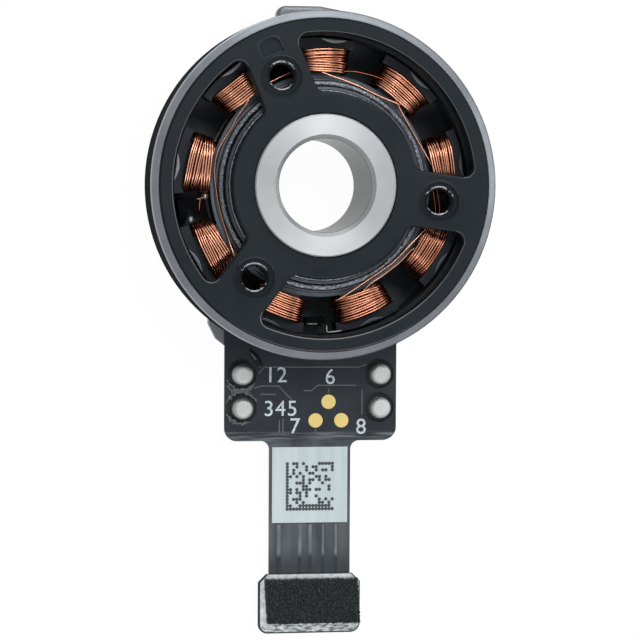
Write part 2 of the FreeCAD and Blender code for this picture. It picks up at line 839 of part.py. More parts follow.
def flex_circuit():
    """Flexible circuit: its bent side profile, cut to the plan of ring, board, tail and plug end."""
    plan = new_body("flex_plan")
    tall = floor_top + size("stator_seat")
    half_board = size("board_width") / 2
    half_tail = size("tail_width") / 2
    reach = board_reach
    pad(plan, "ring", circle_sketch(
        plan, "ring_plan", [(ZERO, ZERO, flex_inner), (ZERO, ZERO, flex_outer)]), tall)
    board = rectangle(-half_board, -reach, half_board, -flex_inner)
    pad(plan, "board", outline_sketch(plan, "XY_Plane", "board_plan", board), tall)
    tail = rectangle(-half_tail, -plug_middle, half_tail, -bend_start)
    pad(plan, "tail", outline_sketch(plan, "XY_Plane", "tail_plan", tail), tall)
    end = pad(plan, "end", outline_sketch(plan, "XY_Plane", "end_plan", end_outline(ZERO)), tall)

    def board_corner(edge):
        return is_upright(edge) and near(edge.CenterOfMass.y, -reach) and near(
            abs(edge.CenterOfMass.x), half_board)

    def tail_root(edge):
        return is_upright(edge) and near(edge.CenterOfMass.y, -reach) and near(
            abs(edge.CenterOfMass.x), half_tail)

    def end_corner(edge):
        return is_upright(edge) and near(edge.CenterOfMass.y, -end_reach)

    rounded = dress_edges(plan, "Fillet", "board_corners", end, size("board_corner"), board_corner)
    rooted = dress_edges(plan, "Fillet", "tail_roots", rounded, size("tail_fillet"), tail_root)
    dress_edges(plan, "Fillet", "end_corners", rooted, size("end_round"), end_corner)
    reliefs = [(across, down, size("pin_radius") + size("pin_relief")) for across, down in pin_places()]
    reliefs += [(across, up, size("boss_radius") + size("board_play")) for across, up in boss_places()]
    pocket(plan, "reliefs", circle_sketch(plan, "relief_plan", reliefs), tall, True)

    profile = new_body("flex_profile")
    side = outline_sketch(profile, "YZ_Plane", "side", [
        (ring_radius, floor_top),
        (-bend_start, floor_top),
        (-bend_end, tail_bottom),
        (-end_reach, tail_bottom),
        (-end_reach, tail_top),
        (-bend_end, tail_top),
        (-bend_start, flex_top),
        (ring_radius, flex_top),
    ], -ring_radius)
    pad(profile, "strip", side, ring_radius * 2)

    flex = doc.addObject("Part::Common", "flex_circuit")
    flex.Base = profile
    flex.Tool = plan
    return flex


def end_outline(inset):
    """Plan of the tail's plug end, bevelled towards the tail, less an inset at its sides and end."""
    half_width = size("end_width") / 2 - inset
    corner = size("end_corner")
    return mirrored_corners([
        (half_width - corner, -tail_reach),
        (half_width, -tail_reach - corner),
        (half_width, inset - end_reach),
    ])


def board_pins():
    """Four locating pins pressed into the carrier, with rounded tops."""
    body = new_body("board_pins")
    circles = [(across, down, size("pin_radius")) for across, down in pin_places()]
    top = flex_top + size("pin_height")
    posts = pad(body, "posts", circle_sketch(body, "plan", circles, size("edge_break")),
                top - size("edge_break"))
    dress_edges(body, "Fillet", "tops", posts, size("pin_round"), lambda edge: lies_at(edge, top))
    return body


def test_pads():
    """Three round contact pads on the board part."""
    body = new_body("test_pads")
    lower = size("pad_end") - board_reach
    half_pitch = size("pad_pitch") / 2
    middle = size("pad_shift")
    circles = [
        (middle, lower + size("pad_rise"), size("pad_radius")),
        (middle - half_pitch, lower, size("pad_radius")),
        (middle + half_pitch, lower, size("pad_radius")),
    ]
    pad(body, "discs", circle_sketch(body, "plan", circles, flex_top), size("pad_thickness"))
    return body


def tail_label():
    """Thin label on the upper half of the tail."""
    body = new_body("tail_label")
    half = size("label_width") / 2
    start = board_reach + size("label_gap")
    outline = rectangle(-half, -start - size("label_length"), half, -start)
    pad(body, "sheet", outline_sketch(body, "XY_Plane", "plan", outline, tail_top), size("label_thickness"))
    return body


def connector_stiffener():
    """Pale plate on the tail's plug end, a little smaller than the film."""
    body = new_body("connector_stiffener")
    inset = size("plate_inset")
    plan = outline_sketch(body, "XY_Plane", "plan", end_outline(inset), tail_top)
    plate = pad(body, "plate", plan, size("plate_thickness"))

    def end_corner(edge):
        return is_upright(edge) and near(edge.CenterOfMass.y, inset - end_reach)

    dress_edges(body, "Fillet", "end_corners", plate, size("end_round") - inset, end_corner)
    return body


def foam_pad():
    """Foam block, cut a little askew, that presses the plug home when a cover is fitted."""
    body = new_body("foam_pad")
    half = size("foam_width") / 2
    shift = size("foam_shift")
    lean = size("foam_lean")
    middle = size("foam_rise") - plug_middle
    top = middle + size("foam_length") / 2
    bottom = middle - size("foam_length") / 2
    outline = [
        (shift + lean - half, bottom),
        (shift + lean + half, bottom),
        (shift - lean + half, top),
        (shift - lean - half, top),
    ]
    level = tail_top + size("plate_thickness")
    block = pad(body, "block", outline_sketch(body, "XY_Plane", "plan", outline, level),
                size("foam_thickness"))
    dress_edges(body, "Fillet", "corners", block, size("foam_corner"), is_upright)
    return body


def connector_housing():
    """Board-to-board plug under the tail's end: a low tray with a tongue down its middle."""
    body = new_body("connector_housing")
    half = size("plug_width") / 2
    half_length = size("plug_length") / 2
    wall = size("plug_wall")
    bottom = tail_bottom - size("plug_height")
    tray = rectangle(-half, -plug_middle - half_length, half, half_length - plug_middle)
    pad(body, "tray", outline_sketch(body, "XY_Plane", "tray_plan", tray, bottom), size("plug_height"))
    channels = new_sketch(body, "XY_Plane", "channel_plan", bottom)
    for near_edge, far_edge in ((wall, half_length - wall / 2), (wall / 2 - half_length, -wall)):
        corners = rectangle(wall - half, near_edge - plug_middle, half - wall, far_edge - plug_middle)
        add_outline(channels, corners)
    pocket(body, "channels", channels, size("plug_height") - size("plug_floor"), True)
    return body


def connector_contacts():
    """Two rows of small contacts in the plug's channels."""
    pitch = size("contact_pitch")
    body = new_body("connector_contacts")
    level = tail_bottom - size("plug_floor") - size("contact_height")
    sketch = new_sketch(body, "XY_Plane", "plan", level)
    wall = size("plug_wall")
    for row_start in (wall, -wall - size("contact_depth")):
        for order in range(CONTACTS):
            left = pitch * (order - (CONTACTS - 1) / 2) - size("contact_width") / 2
            bottom = row_start - plug_middle
            corners = rectangle(left, bottom, left + size("contact_width"), bottom + size("contact_depth"))
            add_outline(sketch, corners)
    pad(body, "blades", sketch, size("contact_height"))
    return body


def hall_sensor(index):
    """Position sensor that stands on three leads in a slot of the core."""
    body = new_body(f"hall_sensor_{index + 1}", as_value(SENSOR_TURNS[index]))
    outer = stator_radius - size("sensor_inset")
    inner = outer - size("sensor_depth")
    half = size("sensor_width") / 2
    level = flex_top + size("sensor_stand")
    package = rectangle(inner, -half, outer, half)
    pad(body, "package", outline_sketch(body, "XY_Plane", "package_plan", package, level),
        size("sensor_height"))
    middle = (inner + outer) / 2
    half_lead = size("lead_width") / 2
    leads = new_sketch(body, "XY_Plane", "lead_plan", flex_top)
    for order in (-1, 0, 1):
        side = size("lead_pitch") * order
        corners = rectangle(middle - half_lead, side - half_lead, middle + half_lead, side + half_lead)
        add_outline(leads, corners)
    pad(body, "leads", leads, size("sensor_stand"))
    return body


def all_pieces():
    """Every piece of the motor, in the order of assembly."""
    pieces = [base_frame(), bearing_tube(), stator_core()]
    pieces += [coil(index) for index in range(TEETH)]
    pieces += [phase_wire(index) for index in range(len(WIRE_RUNS))]
    pieces += [board_stiffener(), flex_circuit(), board_pins(), test_pads(), tail_label()]
    pieces += [connector_stiffener(), foam_pad(), connector_housing(), connector_contacts()]
    pieces += [hall_sensor(index) for index in range(len(SENSOR_TURNS))]
    pieces += bearing("front_bearing", front_bearing_level)
    pieces += bearing("rear_bearing", rear_bearing_level)
    pieces += [hollow_shaft(), preload_washer(), retaining_ring(), rotor_cap(), rotor_ring()]
    pieces += [magnet(index) for index in range(MAGNETS)]
    return pieces


def check(pieces):
    """Stops the build where an object failed or a piece has no sound solid."""
    doc.recompute()
    failed = [item.Name for item in doc.Objects if {"Invalid", "Error"} & set(item.State)]
    unsound = [piece.Label for piece in pieces
               if piece.Shape.isNull() or not piece.Shape.isValid() or not piece.Shape.Solids]
    if failed or unsound:
        raise RuntimeError(f"failed objects: {failed}; unsound pieces: {unsound}")


motor = all_pieces()
check(motor)
os.makedirs("parts", exist_ok=True)
for piece in motor:
    piece.Shape.exportStep(f"parts/{piece.Label}.step")
    box = piece.Shape.BoundBox
    print(f"{piece.Label}: {len(piece.Shape.Solids)} solid(s), {piece.Shape.Volume:.3f} mm3, "
          f"z {box.ZMin:.2f} to {box.ZMax:.2f}")
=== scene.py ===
"""Gimbal motor: finishes, windings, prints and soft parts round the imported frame.

Lengths are in millimetres in the motor's own frame: the rotor turns about Z, the rear face lies at Z 0
and the flexible tail points to -Y. Angles are in degrees, anticlockwise from +X. Pieces go into the
scene in metres.
"""
import json

import bpy
import numpy as np
from mathutils import Matrix, Vector


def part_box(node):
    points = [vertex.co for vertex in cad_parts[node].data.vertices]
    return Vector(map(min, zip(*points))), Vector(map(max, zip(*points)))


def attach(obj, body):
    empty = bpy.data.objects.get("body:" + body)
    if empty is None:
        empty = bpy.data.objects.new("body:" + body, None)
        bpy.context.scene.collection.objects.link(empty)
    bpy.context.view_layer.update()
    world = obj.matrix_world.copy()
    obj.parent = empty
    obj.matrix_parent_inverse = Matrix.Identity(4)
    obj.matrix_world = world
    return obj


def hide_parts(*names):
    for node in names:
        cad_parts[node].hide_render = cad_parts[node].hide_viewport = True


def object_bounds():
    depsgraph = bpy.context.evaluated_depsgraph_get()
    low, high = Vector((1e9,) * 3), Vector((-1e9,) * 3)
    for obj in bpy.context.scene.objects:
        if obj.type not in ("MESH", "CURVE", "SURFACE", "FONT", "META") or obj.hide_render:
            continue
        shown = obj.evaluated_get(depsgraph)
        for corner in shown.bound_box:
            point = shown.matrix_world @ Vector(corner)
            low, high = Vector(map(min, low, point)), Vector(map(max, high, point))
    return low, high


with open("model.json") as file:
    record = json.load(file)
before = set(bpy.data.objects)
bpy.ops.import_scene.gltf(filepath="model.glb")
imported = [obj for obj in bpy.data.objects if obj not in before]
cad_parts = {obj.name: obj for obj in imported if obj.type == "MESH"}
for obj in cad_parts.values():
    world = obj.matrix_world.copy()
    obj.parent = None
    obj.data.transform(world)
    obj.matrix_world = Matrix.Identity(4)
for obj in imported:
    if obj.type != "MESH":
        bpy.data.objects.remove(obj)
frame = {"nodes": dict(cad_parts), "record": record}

CAD_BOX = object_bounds()
MM = 0.001
SEED = 12
UPWARD = np.array([0.0, 0.0, 1.0])


def heights(node):
    """Lowest and highest Z of a node."""
    low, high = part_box(node)
    return low.z / MM, high.z / MM


# Heights and reaches that the pieces take from the frame
COLLAR_TOP = heights("stator_core")[1]
COIL_LOW, COIL_TOP = heights("coil_1")
SENSOR_TOP = heights("hall_sensor_2")[1]
TUBE_TOP = heights("bearing_tube")[1]
CAP_TOP = heights("rotor_cap")[1]
FILM_TOP = heights("test_pads")[0]
TAIL_TOP, LABEL_TOP = heights("tail_label")
PLATE_TOP, FOAM_TOP = heights("foam_pad")
LABEL_LOW = np.array(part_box("tail_label")[0]) / MM
LABEL_HIGH = np.array(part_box("tail_label")[1]) / MM
FOAM_LOW = np.array(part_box("foam_pad")[0]) / MM
FOAM_HIGH = np.array(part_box("foam_pad")[1]) / MM
TAIL_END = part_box("connector_stiffener")[1].y / MM

# Stator
TOOTH_COUNT = 9
FIRST_TOOTH = 10.0
TOOTH_PITCH = 360.0 / TOOTH_COUNT
SHOE_OUTER = 9.8
SHOE_TOP = 4.9

# Wire of the coils
WIRE_RADIUS = 0.071
CROSS_RADIUS = 0.052
WIRE_SIDES = 8
COIL_INNER = 7.43
COIL_OUTER = 9.17
COIL_INNER_HALF = 1.84
COIL_OUTER_HALF = 2.2
PASS_TURNS = 10
STEPS_PER_TURN = 44
LAYER_STEP = 0.11
LAST_LAYER = 2.0
LOOP_POWER = 2.0 / 2.8
SHOE_BOW = 0.22
# The end shade darkens each coil's ends, where the wire turns down, and the inner tone darkens the inner
# layer seen in the gaps: painted shade. The coil tones set how bright each coil is by how it is lit: painted
# light and shade.
END_SHADE = 0.5
CROWN_POWER = 1.15
INNER_SHADE_TONE = 0.6
COIL_LIGHT_TONES = (0.86, 0.85, 0.61, 0.82, 1.06, 1.20, 0.62, 0.72, 0.62)
SPARE_TURNS = (2, 6)
WAVE_COUNT = 6
WAVE_CYCLES = (0.03, 1.4)
LOOSE_DEPTH = 0.008
LOOSE_ALONG = 0.026
SLANT = 0.17
SLANT_MARKS = 4
TURN_TONES = (0.5, 1.05)


# Mesh helpers
def polar(angle, radius, height):
    """Point or points at an angle in degrees, a radius and a height."""
    turn = np.radians(angle)
    return np.stack(np.broadcast_arrays(radius * np.cos(turn), radius * np.sin(turn), height), axis=-1)


def unit(vectors):
    """The vectors at length one."""
    return vectors / np.linalg.norm(vectors, axis=-1, keepdims=True)


def grid_faces(rows, columns, loop_columns=False, loop_rows=False):
    """Four-sided faces of a grid of points, row after row, joined round where columns or rows make a loop."""
    row, column = np.meshgrid(np.arange(rows - (not loop_rows)), np.arange(columns - (not loop_columns)),
                              indexing="ij")
    beside = (column + 1) % columns
    here = row * columns
    below = (row + 1) % rows * columns
    corners = (here + column, here + beside, below + beside, below + column)
    return np.stack(corners, axis=-1).reshape(-1, 4).tolist()


def tube_faces(rings, sides):
    """Faces of a tube of rings of points, with a flat face on the first ring and on the last."""
    first = list(range(sides))
    last = list(range((rings - 1) * sides, rings * sides))
    return grid_faces(rings, sides, True) + [first[::-1], last]


def sheet_solid(points):
    """A closed skin: a grid of points, and a fan of faces below from its edge to a middle point."""
    rows, columns = points.shape[:2]
    index = np.arange(rows * columns).reshape(rows, columns)
    edge = np.concatenate([index[0, :-1], index[:-1, -1], index[-1, :0:-1], index[:0:-1, 0]])
    skin = points.reshape(-1, 3)
    middle = skin[edge].mean(axis=0, keepdims=True)
    fan = np.stack([np.roll(edge, -1), edge, np.full(len(edge), len(skin))], axis=-1).tolist()
    return np.concatenate([skin, middle]), grid_faces(rows, columns) + fan


def sweep(path, reference, wide, high=None, sides=WIRE_SIDES):
    """A rod along a path: each point plus cosine and sine of the angle round it along two directions
    square to the path, scaled by the half width and the half height, with both ends closed."""
    high = wide if high is None else high
    heading = unit(np.gradient(path, axis=0))
    side = unit(np.cross(reference, heading))
    over = np.cross(heading, side)
    turn = np.linspace(0, 2 * np.pi, sides, endpoint=False)[:, None]
    wide = np.broadcast_to(wide, len(path))[:, None, None]
    high = np.broadcast_to(high, len(path))[:, None, None]
    ring = wide * np.cos(turn) * side[:, None, :] + high * np.sin(turn) * over[:, None, :]
    points = path[:, None, :] + ring
    return points.reshape(-1, 3), tube_faces(len(path), sides)


DAB_RINGS = 20
DAB_SIDES = 64
DAB_CROWN = 0.02


def dome(centre, half_x, half_y, high, lumps, lean):
    """A dab: from the rim up, the radius falls as the sine of an angle and the height rises as its cosine.
    The rim wanders with three and five waves a turn, and the whole is turned by an angle and closed."""
    rise = np.linspace(np.pi / 2, DAB_CROWN, DAB_RINGS)[:, None]
    turn = np.linspace(0, 2 * np.pi, DAB_SIDES, endpoint=False)[None, :]
    rim = 1 + lumps * (np.sin(3 * turn + centre[0]) + np.sin(5 * turn + centre[1])) / 2
    across = half_x * rim * np.sin(rise) * np.cos(turn)
    along = half_y * rim * np.sin(rise) * np.sin(turn)
    tilt = np.radians(lean)
    x = centre[0] + across * np.cos(tilt) - along * np.sin(tilt)
    y = centre[1] + across * np.sin(tilt) + along * np.cos(tilt)
    z = centre[2] + high * np.cos(rise) + 0 * turn
    return np.stack([x, y, z], axis=-1).reshape(-1, 3), tube_faces(DAB_RINGS, DAB_SIDES)


def joined(parts):
    """Several sets of points and faces as one."""
    points = np.concatenate([part[0] for part in parts])
    starts = np.cumsum([0] + [len(part[0]) for part in parts[:-1]])
    faces = [[corner + start for corner in face] for start, part in zip(starts, parts) for face in part[1]]
    return points, faces


def smooth_line(marks, steps=16):
    """A curve through the marks: between each two, the Catmull-Rom cubic of the four nearest marks."""
    marks = np.asarray(marks, float)
    chain = np.concatenate([[2 * marks[0] - marks[1]], marks, [2 * marks[-1] - marks[-2]]])
    before, first, second, after = (chain[k:len(chain) - 3 + k, None, :] for k in range(4))
    part = np.linspace(0, 1, steps, endpoint=False)[None, :, None]
    curve = first + part / 2 * (second - before + part * (
        2 * before - 5 * first + 4 * second - after + part * (3 * (first - second) + after - before)))
    return np.concatenate([curve.reshape(-1, 3), marks[-1:]])


def filtered_noise(shape, cells, rng):
    """Random heights of about one, blurred by a bell curve so that bumps are about so many cells wide."""
    down = np.fft.fftfreq(shape[0])[:, None]
    across = np.fft.fftfreq(shape[1])[None, :]
    blur = np.exp(-2 * (np.pi * cells / 2) ** 2 * (down ** 2 + across ** 2))
    bumps = np.fft.ifft2(np.fft.fft2(rng.standard_normal(shape)) * blur).real
    return bumps / bumps.std()


def make_piece(name, shape, material, body, stands_for=(), smooth=True):
    """Puts points and faces in millimetres into the scene as one piece that rides on a body."""
    points, faces = shape
    mesh = bpy.data.meshes.new(name)
    mesh.from_pydata((points * MM).tolist(), [], faces)
    mesh.polygons.foreach_set("use_smooth", [smooth] * len(mesh.polygons))
    mesh.materials.append(material)
    piece = bpy.data.objects.new(name, mesh)
    bpy.context.scene.collection.objects.link(piece)
    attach(piece, body)
    if stands_for:
        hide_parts(*stands_for)
    return piece


# Finishes
class Finish:
    """A procedural material: a Principled shader, fed by nodes that read the piece's place in millimetres."""

    def __init__(self, name, colour, roughness, metallic=0.0, **others):
        self.material = bpy.data.materials.new(name)
        self.material.use_nodes = True
        self.tree = self.material.node_tree
        self.shader = self.tree.nodes["Principled BSDF"]
        self.set("Base Color", (*colour, 1.0))
        self.set("Roughness", roughness)
        self.set("Metallic", metallic)
        for socket, value in others.items():
            self.set(socket.replace("_", " "), value)
        place = self.node("TexCoord").outputs["Object"]
        self.place = self.node("VectorMath", {0: place, "Scale": 1 / MM}, operation="SCALE").outputs[0]

    def set(self, socket, value):
        """Feeds one of the shader's sockets."""
        self.feed(self.shader.inputs[socket], value)

    def feed(self, socket, value):
        """A socket takes a link from another one, or a constant."""
        if isinstance(value, bpy.types.NodeSocket):
            self.tree.links.new(value, socket)
        else:
            socket.default_value = value

    def node(self, kind, sockets=None, **settings):
        """A new node with its settings and its sockets fed."""
        made = self.tree.nodes.new("ShaderNode" + kind)
        for setting, value in settings.items():
            setattr(made, setting, value)
        for socket, value in (sockets or {}).items():
            self.feed(made.inputs[socket], value)
        return made

    def math(self, operation, first, second=0.0):
        """One operation on one or two numbers."""
        return self.node("Math", {0: first, 1: second}, operation=operation).outputs[0]

    def plus(self, first, second):
        """Sum of two numbers."""
        return self.math("ADD", first, second)

    def less(self, first, second):
        """The first number less the second."""
        return self.math("SUBTRACT", first, second)

    def times(self, first, second):
        """Product of two numbers."""
        return self.math("MULTIPLY", first, second)

    def most(self, first, second):
        """The larger of two numbers."""
        return self.math("MAXIMUM", first, second)

    def under(self, value, limit):
        """One where the value lies under the limit, else zero."""
        return self.math("LESS_THAN", value, limit)

    def away(self, value, centre):
        """Distance of a number from a centre."""
        return self.math("ABSOLUTE", self.less(value, centre))

    def vector(self, operation, *vectors):
        """One operation on one or two vectors."""
        return self.node("VectorMath", dict(enumerate(vectors)), operation=operation).outputs[0]

    def length(self, vector):
        """Length of a vector."""
        return self.node("VectorMath", {0: vector}, operation="LENGTH").outputs["Value"]

    def distance(self, first, second):
        """Length of the flat vector that two numbers make."""
        return self.length(self.node("CombineXYZ", {0: first, 1: second}).outputs[0])

    def part(self, axis):
        """One of the place's three numbers."""
        return self.node("SeparateXYZ", {0: self.place}).outputs["XYZ".index(axis)]

    def flat(self):
        """The place seen along the rotor's axis, with no height."""
        return self.vector("MULTIPLY", self.place, (1.0, 1.0, 0.0))

    def radius(self):
        """Distance from the rotor's axis."""
        return self.length(self.flat())

    def noise(self, size, detail=2.0, stretch=(1.0, 1.0, 1.0)):
        """Cloudy noise with lumps of about that size, longer where the stretch is under one."""
        place = self.vector("MULTIPLY", self.place, stretch)
        return self.node("TexNoise", {"Vector": place, "Scale": 1 / size, "Detail": detail}).outputs["Fac"]

    def turning(self):
        """Lathe lines: noise along the sum of the radius and the height."""
        track = self.plus(self.radius(), self.part("Z"))
        sockets = {"W": track, "Scale": 1 / LATHE_LINE, "Detail": 3.0}
        return self.node("TexNoise", sockets, noise_dimensions="1D").outputs["Fac"]

    def spread(self, value, low, high, start=0.3, end=0.7):
        """The value's stretch from start to end, spread from low to high."""
        sockets = {"Value": value, "From Min": start, "From Max": end, "To Min": low, "To Max": high}
        return self.node("MapRange", sockets).outputs["Result"]

    def change(self, value, low, high, place, half):
        """Goes from low to high as the value passes a place, within that half width."""
        return self.spread(value, low, high, place - half, place + half)

    def tint(self, factor, first, second):
        """Base colour that goes from the first colour to the second."""
        mix = self.node("Mix", {0: factor, 6: self.opaque(first), 7: self.opaque(second)}, data_type="RGBA")
        self.set("Base Color", mix.outputs[2])
        return mix.outputs[2]

    @staticmethod
    def opaque(colour):
        """A written colour with its alpha; a linked one as it is."""
        return colour if isinstance(colour, bpy.types.NodeSocket) else (*colour, 1.0)

    def outward(self):
        """Direction across the lathe's cut: away from the axis, leaning up so that a bore has one too."""
        lean = self.vector("ADD", self.vector("NORMALIZE", self.flat()), CUT_LEAN)
        turned = self.node("VectorTransform", {0: lean}, vector_type="VECTOR", convert_from="OBJECT",
                           convert_to="WORLD")
        return turned.outputs[0]

    def spoke_place(self):
        """Place against the nearest of the cap's evenly spaced spokes: how far out from its screw hole,
        how far aside, and the spoke's turn from the first one."""
        heading = self.math("ARCTAN2", self.part("Y"), self.part("X"))
        angle = self.less(heading, np.radians(CAP_TURN))
        step = 2 * np.pi / CAP_HOLES
        nearest = self.times(self.math("ROUND", self.math("DIVIDE", angle, step)), step)
        off = self.less(angle, nearest)
        along = self.less(self.times(self.radius(), self.math("COSINE", off)), HOLE_CIRCLE)
        aside = self.times(self.radius(), self.math("SINE", off))
        return along, aside, nearest

    def relief(self, height, depth, under=None):
        """Fine bumps of that depth, over other bumps where given."""
        sockets = {"Height": height, "Distance": depth * MM, "Strength": 1.0}
        if under is not None:
            sockets["Normal"] = under
        normal = self.node("Bump", sockets).outputs["Normal"]
        self.set("Normal", normal)
        return normal


def turned_finish(name, colour, paler, roughness, depth, bore=0.0, bore_shade=None):
    """Turned metal: lathe lines in the roughness and the relief, gloss drawn out across the cut, faint
    patches, and, where a bore is given, a darker colour in it that is painted shade, with smoother gloss."""
    finish = Finish(name, colour, roughness, 1.0, Anisotropic=TURNING_PULL, Specular_Tint=TURNED_EDGE)
    finish.set("Tangent", finish.outward())
    lines = finish.turning()
    face = finish.tint(finish.spread(finish.noise(2.5, 3.0), 0.0, 1.0), colour, paler)
    gloss = finish.spread(lines, roughness - TURNED_SWING, roughness + TURNED_SWING)
    if bore_shade:
        # Painted shade inside the bore.
        inside = finish.under(finish.radius(), bore)
        finish.tint(inside, face, bore_shade)
        gloss = finish.less(gloss, finish.times(inside, BORE_GLOSS))
    finish.set("Roughness", gloss)
    finish.relief(lines, depth)
    return finish.material


def grained_finish(name, colour, paler, roughness, grain, depth, metallic=0.0, cloud=3.0, **others):
    """Blasted, moulded or coated surface: a fine grain in relief and soft patches in colour and gloss."""
    finish = Finish(name, colour, roughness, metallic, **others)
    patches = finish.noise(cloud, 4.0)
    finish.tint(finish.spread(patches, 0.0, 1.0), colour, paler)
    finish.set("Roughness", finish.spread(patches, roughness - GRAIN_SWING, roughness + GRAIN_SWING))
    finish.relief(finish.noise(grain, 3.0), depth)
    return finish.material


def metal_finish(name, colour, paler, roughness, size, depth):
    """Bare or plated metal: small dents in relief, and clouding in the colour and the gloss."""
    return grained_finish(name, colour, paler, roughness, size, depth, metallic=1.0)


def mouth_wear_and_glint(finish, around, rise, chips):
    """Chipped bare metal on circles at each screw hole, each kept to its upper or its lower side where it
    catches the light: partly wear, partly a painted highlight.
    """
    bands = []
    for circle, half, side in MOUTH_WEAR_AND_GLINT:
        band = finish.under(finish.away(around, circle), half)
        patchy = finish.plus(finish.times(rise, side), chips)
        bands.append(finish.times(band, finish.spread(patchy, 0.0, MOUTH_BARE, *MOUTH_FADE)))
    return finish.most(*bands)


def index_outline(finish, along, aside, turn):
    """Edge of the index recess on the first spoke, where a highlight is painted: near the border of a
    rectangle with round corners.
    """
    past = [finish.most(finish.less(finish.away(value, centre), half - MARK_ROUND), 0.0)
            for value, centre, half in ((along, MARK_PLACE, MARK_LONG / 2), (aside, 0.0, MARK_WIDE / 2))]
    edge = finish.away(finish.distance(*past), MARK_ROUND)
    first_spoke = finish.under(finish.math("ABSOLUTE", turn), 1.0)
    return finish.times(finish.spread(edge, 1.0, 0.0, *MARK_EDGE), first_spoke)


def cap_finish():
    """Black anodising with a fine grain. Painted highlights: bare metal along the window lips, strongest at
    the bottom, and on the lower rim, paler on the upper side of the hole rims and at the edge of the index
    recess;
    at the screw holes the bare metal is partly wear, partly a painted highlight. Painted shade: darker inside
    the hole rims and in the seam at the sleeve, mostly on its right."""
    finish = Finish("satin_black_anodising", CAP_BLACK, 0.42, 0.0, Specular_IOR_Level=CAP_SHEEN,
                    Specular_Tint=CAP_TINT)
    x, y, z = (finish.part(axis) for axis in "XYZ")
    radius = finish.radius()
    patches = finish.noise(3.0, 4.0)
    black = finish.tint(finish.spread(patches, 0.0, 1.0), CAP_BLACK, CAP_PALE)
    along, aside, turn = finish.spoke_place()
    around = finish.distance(along, aside)
    hole_turn = finish.plus(turn, np.radians(CAP_TURN))
    hole_y = finish.times(finish.math("SINE", hole_turn), HOLE_CIRCLE)
    rise = finish.math("DIVIDE", finish.less(y, hole_y), around)
    chips = finish.spread(finish.noise(0.22, 4.0), -0.5, 0.5)
    # Painted highlight along the window lips, strongest towards the bottom.
    lip = finish.times(finish.under(finish.away(z, LIP_PLACE), LIP_HALF),
                       finish.under(finish.away(radius, LIP_CIRCLE), LIP_REACH))
    painted_glint = finish.times(lip, finish.spread(y, *LIP_GLINT, *LIP_FADE))
    # Painted highlight on the cap's outer rim, on its lower side only.
    rim = finish.math("GREATER_THAN", radius, CAP_REACH - RIM_WIDE)
    rim_glint = finish.times(rim, finish.spread(y, *RIM_GLINT, *RIM_FADE))
    # Bare metal: wear at the screw holes, and the painted highlights on the lips and the rim.
    wear_and_glint = finish.most(mouth_wear_and_glint(finish, around, rise, chips), finish.most(painted_glint, rim_glint))
    # Painted highlight on the upper side of each hole rim.
    crest = finish.times(finish.spread(finish.away(around, HOLE_RIM), 1.0, 0.0, *HOLE_RIM_EDGE),
                         finish.spread(finish.plus(rise, chips), 0.0, 1.0, *HOLE_RIM_FADE))
    outline = index_outline(finish, along, aside, turn)
    mark_highlighted = finish.tint(finish.most(outline, crest), black, MARK_HIGHLIGHT)
    # Painted shade inside the hole rims, and a painted shadow in the seam at the sleeve, mostly on its right.
    sunk = finish.change(around, HOLE_SHADE, 0.0, HOLE_RIM, HOLE_SOFT)
    seam = finish.times(finish.change(radius, 1.0, 0.0, SEAM_REACH, SEAM_SOFT),
                        finish.spread(x, SEAM_LEAST, 1.0, *SEAM_FADE))
    shade = finish.most(seam, sunk)
    shaded = finish.tint(shade, mark_highlighted, SEAM_SHADOW)
    finish.tint(wear_and_glint, shaded, BARE_METAL_GLINT)
    finish.set("Specular IOR Level", finish.spread(shade, CAP_SHEEN, 0.0, 0.0, 1.0))
    finish.set("Metallic", wear_and_glint)
    finish.set("Roughness", finish.spread(patches, 0.36, 0.48))
    finish.relief(finish.noise(0.05, 3.0), 0.002)
    return finish.material


def ring_finish():
    """Flux ring: black coat on the wall, and a bright-cut grey bevel whose outer edge carries a painted
    highlight on the left and painted shade, black, on the right."""
    finish = Finish("black_ring_cut_bevel", RING_BLACK, 0.4, 0.0)
    height = finish.part("Z")
    cut = finish.change(height, 0.0, 1.0, BEVEL_LOW, BEVEL_SOFT)
    # Painted highlight on the left of the bevel's outer edge, painted shade on its right.
    edge = finish.spread(finish.away(height, BEVEL_LOW), EDGE_GLINT, 0.0, *EDGE_REACH)
    painted_glint = finish.spread(finish.part("X"), 1.0, 0.0, *EDGE_FADE)
    painted_dark_side = finish.less(1.0, painted_glint)
    specks = finish.spread(finish.noise(0.16, 3.0), 0.0, 1.0, 0.35, 0.75)
    wall = finish.tint(specks, RING_BLACK, RING_SPECK)
    bevel = finish.tint(finish.spread(finish.noise(1.8, 4.0), 0.0, 1.0), BEVEL_GREY, BEVEL_PALE)
    coat = finish.tint(cut, wall, bevel)
    pale = finish.tint(finish.times(edge, painted_glint), coat, BARE_METAL_GLINT)
    finish.tint(finish.times(edge, painted_dark_side), pale, RING_BLACK)
    finish.set("Metallic", finish.times(cut, BEVEL_METAL))
    finish.set("Specular IOR Level", finish.times(cut, BEVEL_SHEEN))
    finish.set("Roughness", finish.spread(finish.turning(), 0.36, 0.48))
    finish.relief(finish.noise(0.08, 3.0), 0.0015)
    return finish.material


def copper_finish():
    """Enamelled copper under a thin clear coat: the piece's attribute gives each turn its own tone, together
    with painted light and shade.
    """
    finish = Finish("enamelled_copper", COPPER, 0.25, 1.0, Coat_Weight=0.35, Coat_Roughness=0.1)
    tone = finish.node("Attribute", attribute_name="tone").outputs["Fac"]
    stain = finish.noise(0.5, 3.0)
    shade = finish.plus(finish.times(tone, TONE_SHARE), finish.times(stain, STAIN_SHARE))
    finish.tint(finish.spread(shade, 0.0, 1.0, *TONE_SPAN), COPPER_DEEP, COPPER)
    finish.set("Roughness", finish.spread(stain, 0.2, 0.32))
    finish.relief(finish.noise(0.08, 2.0), 0.001)
    return finish.material


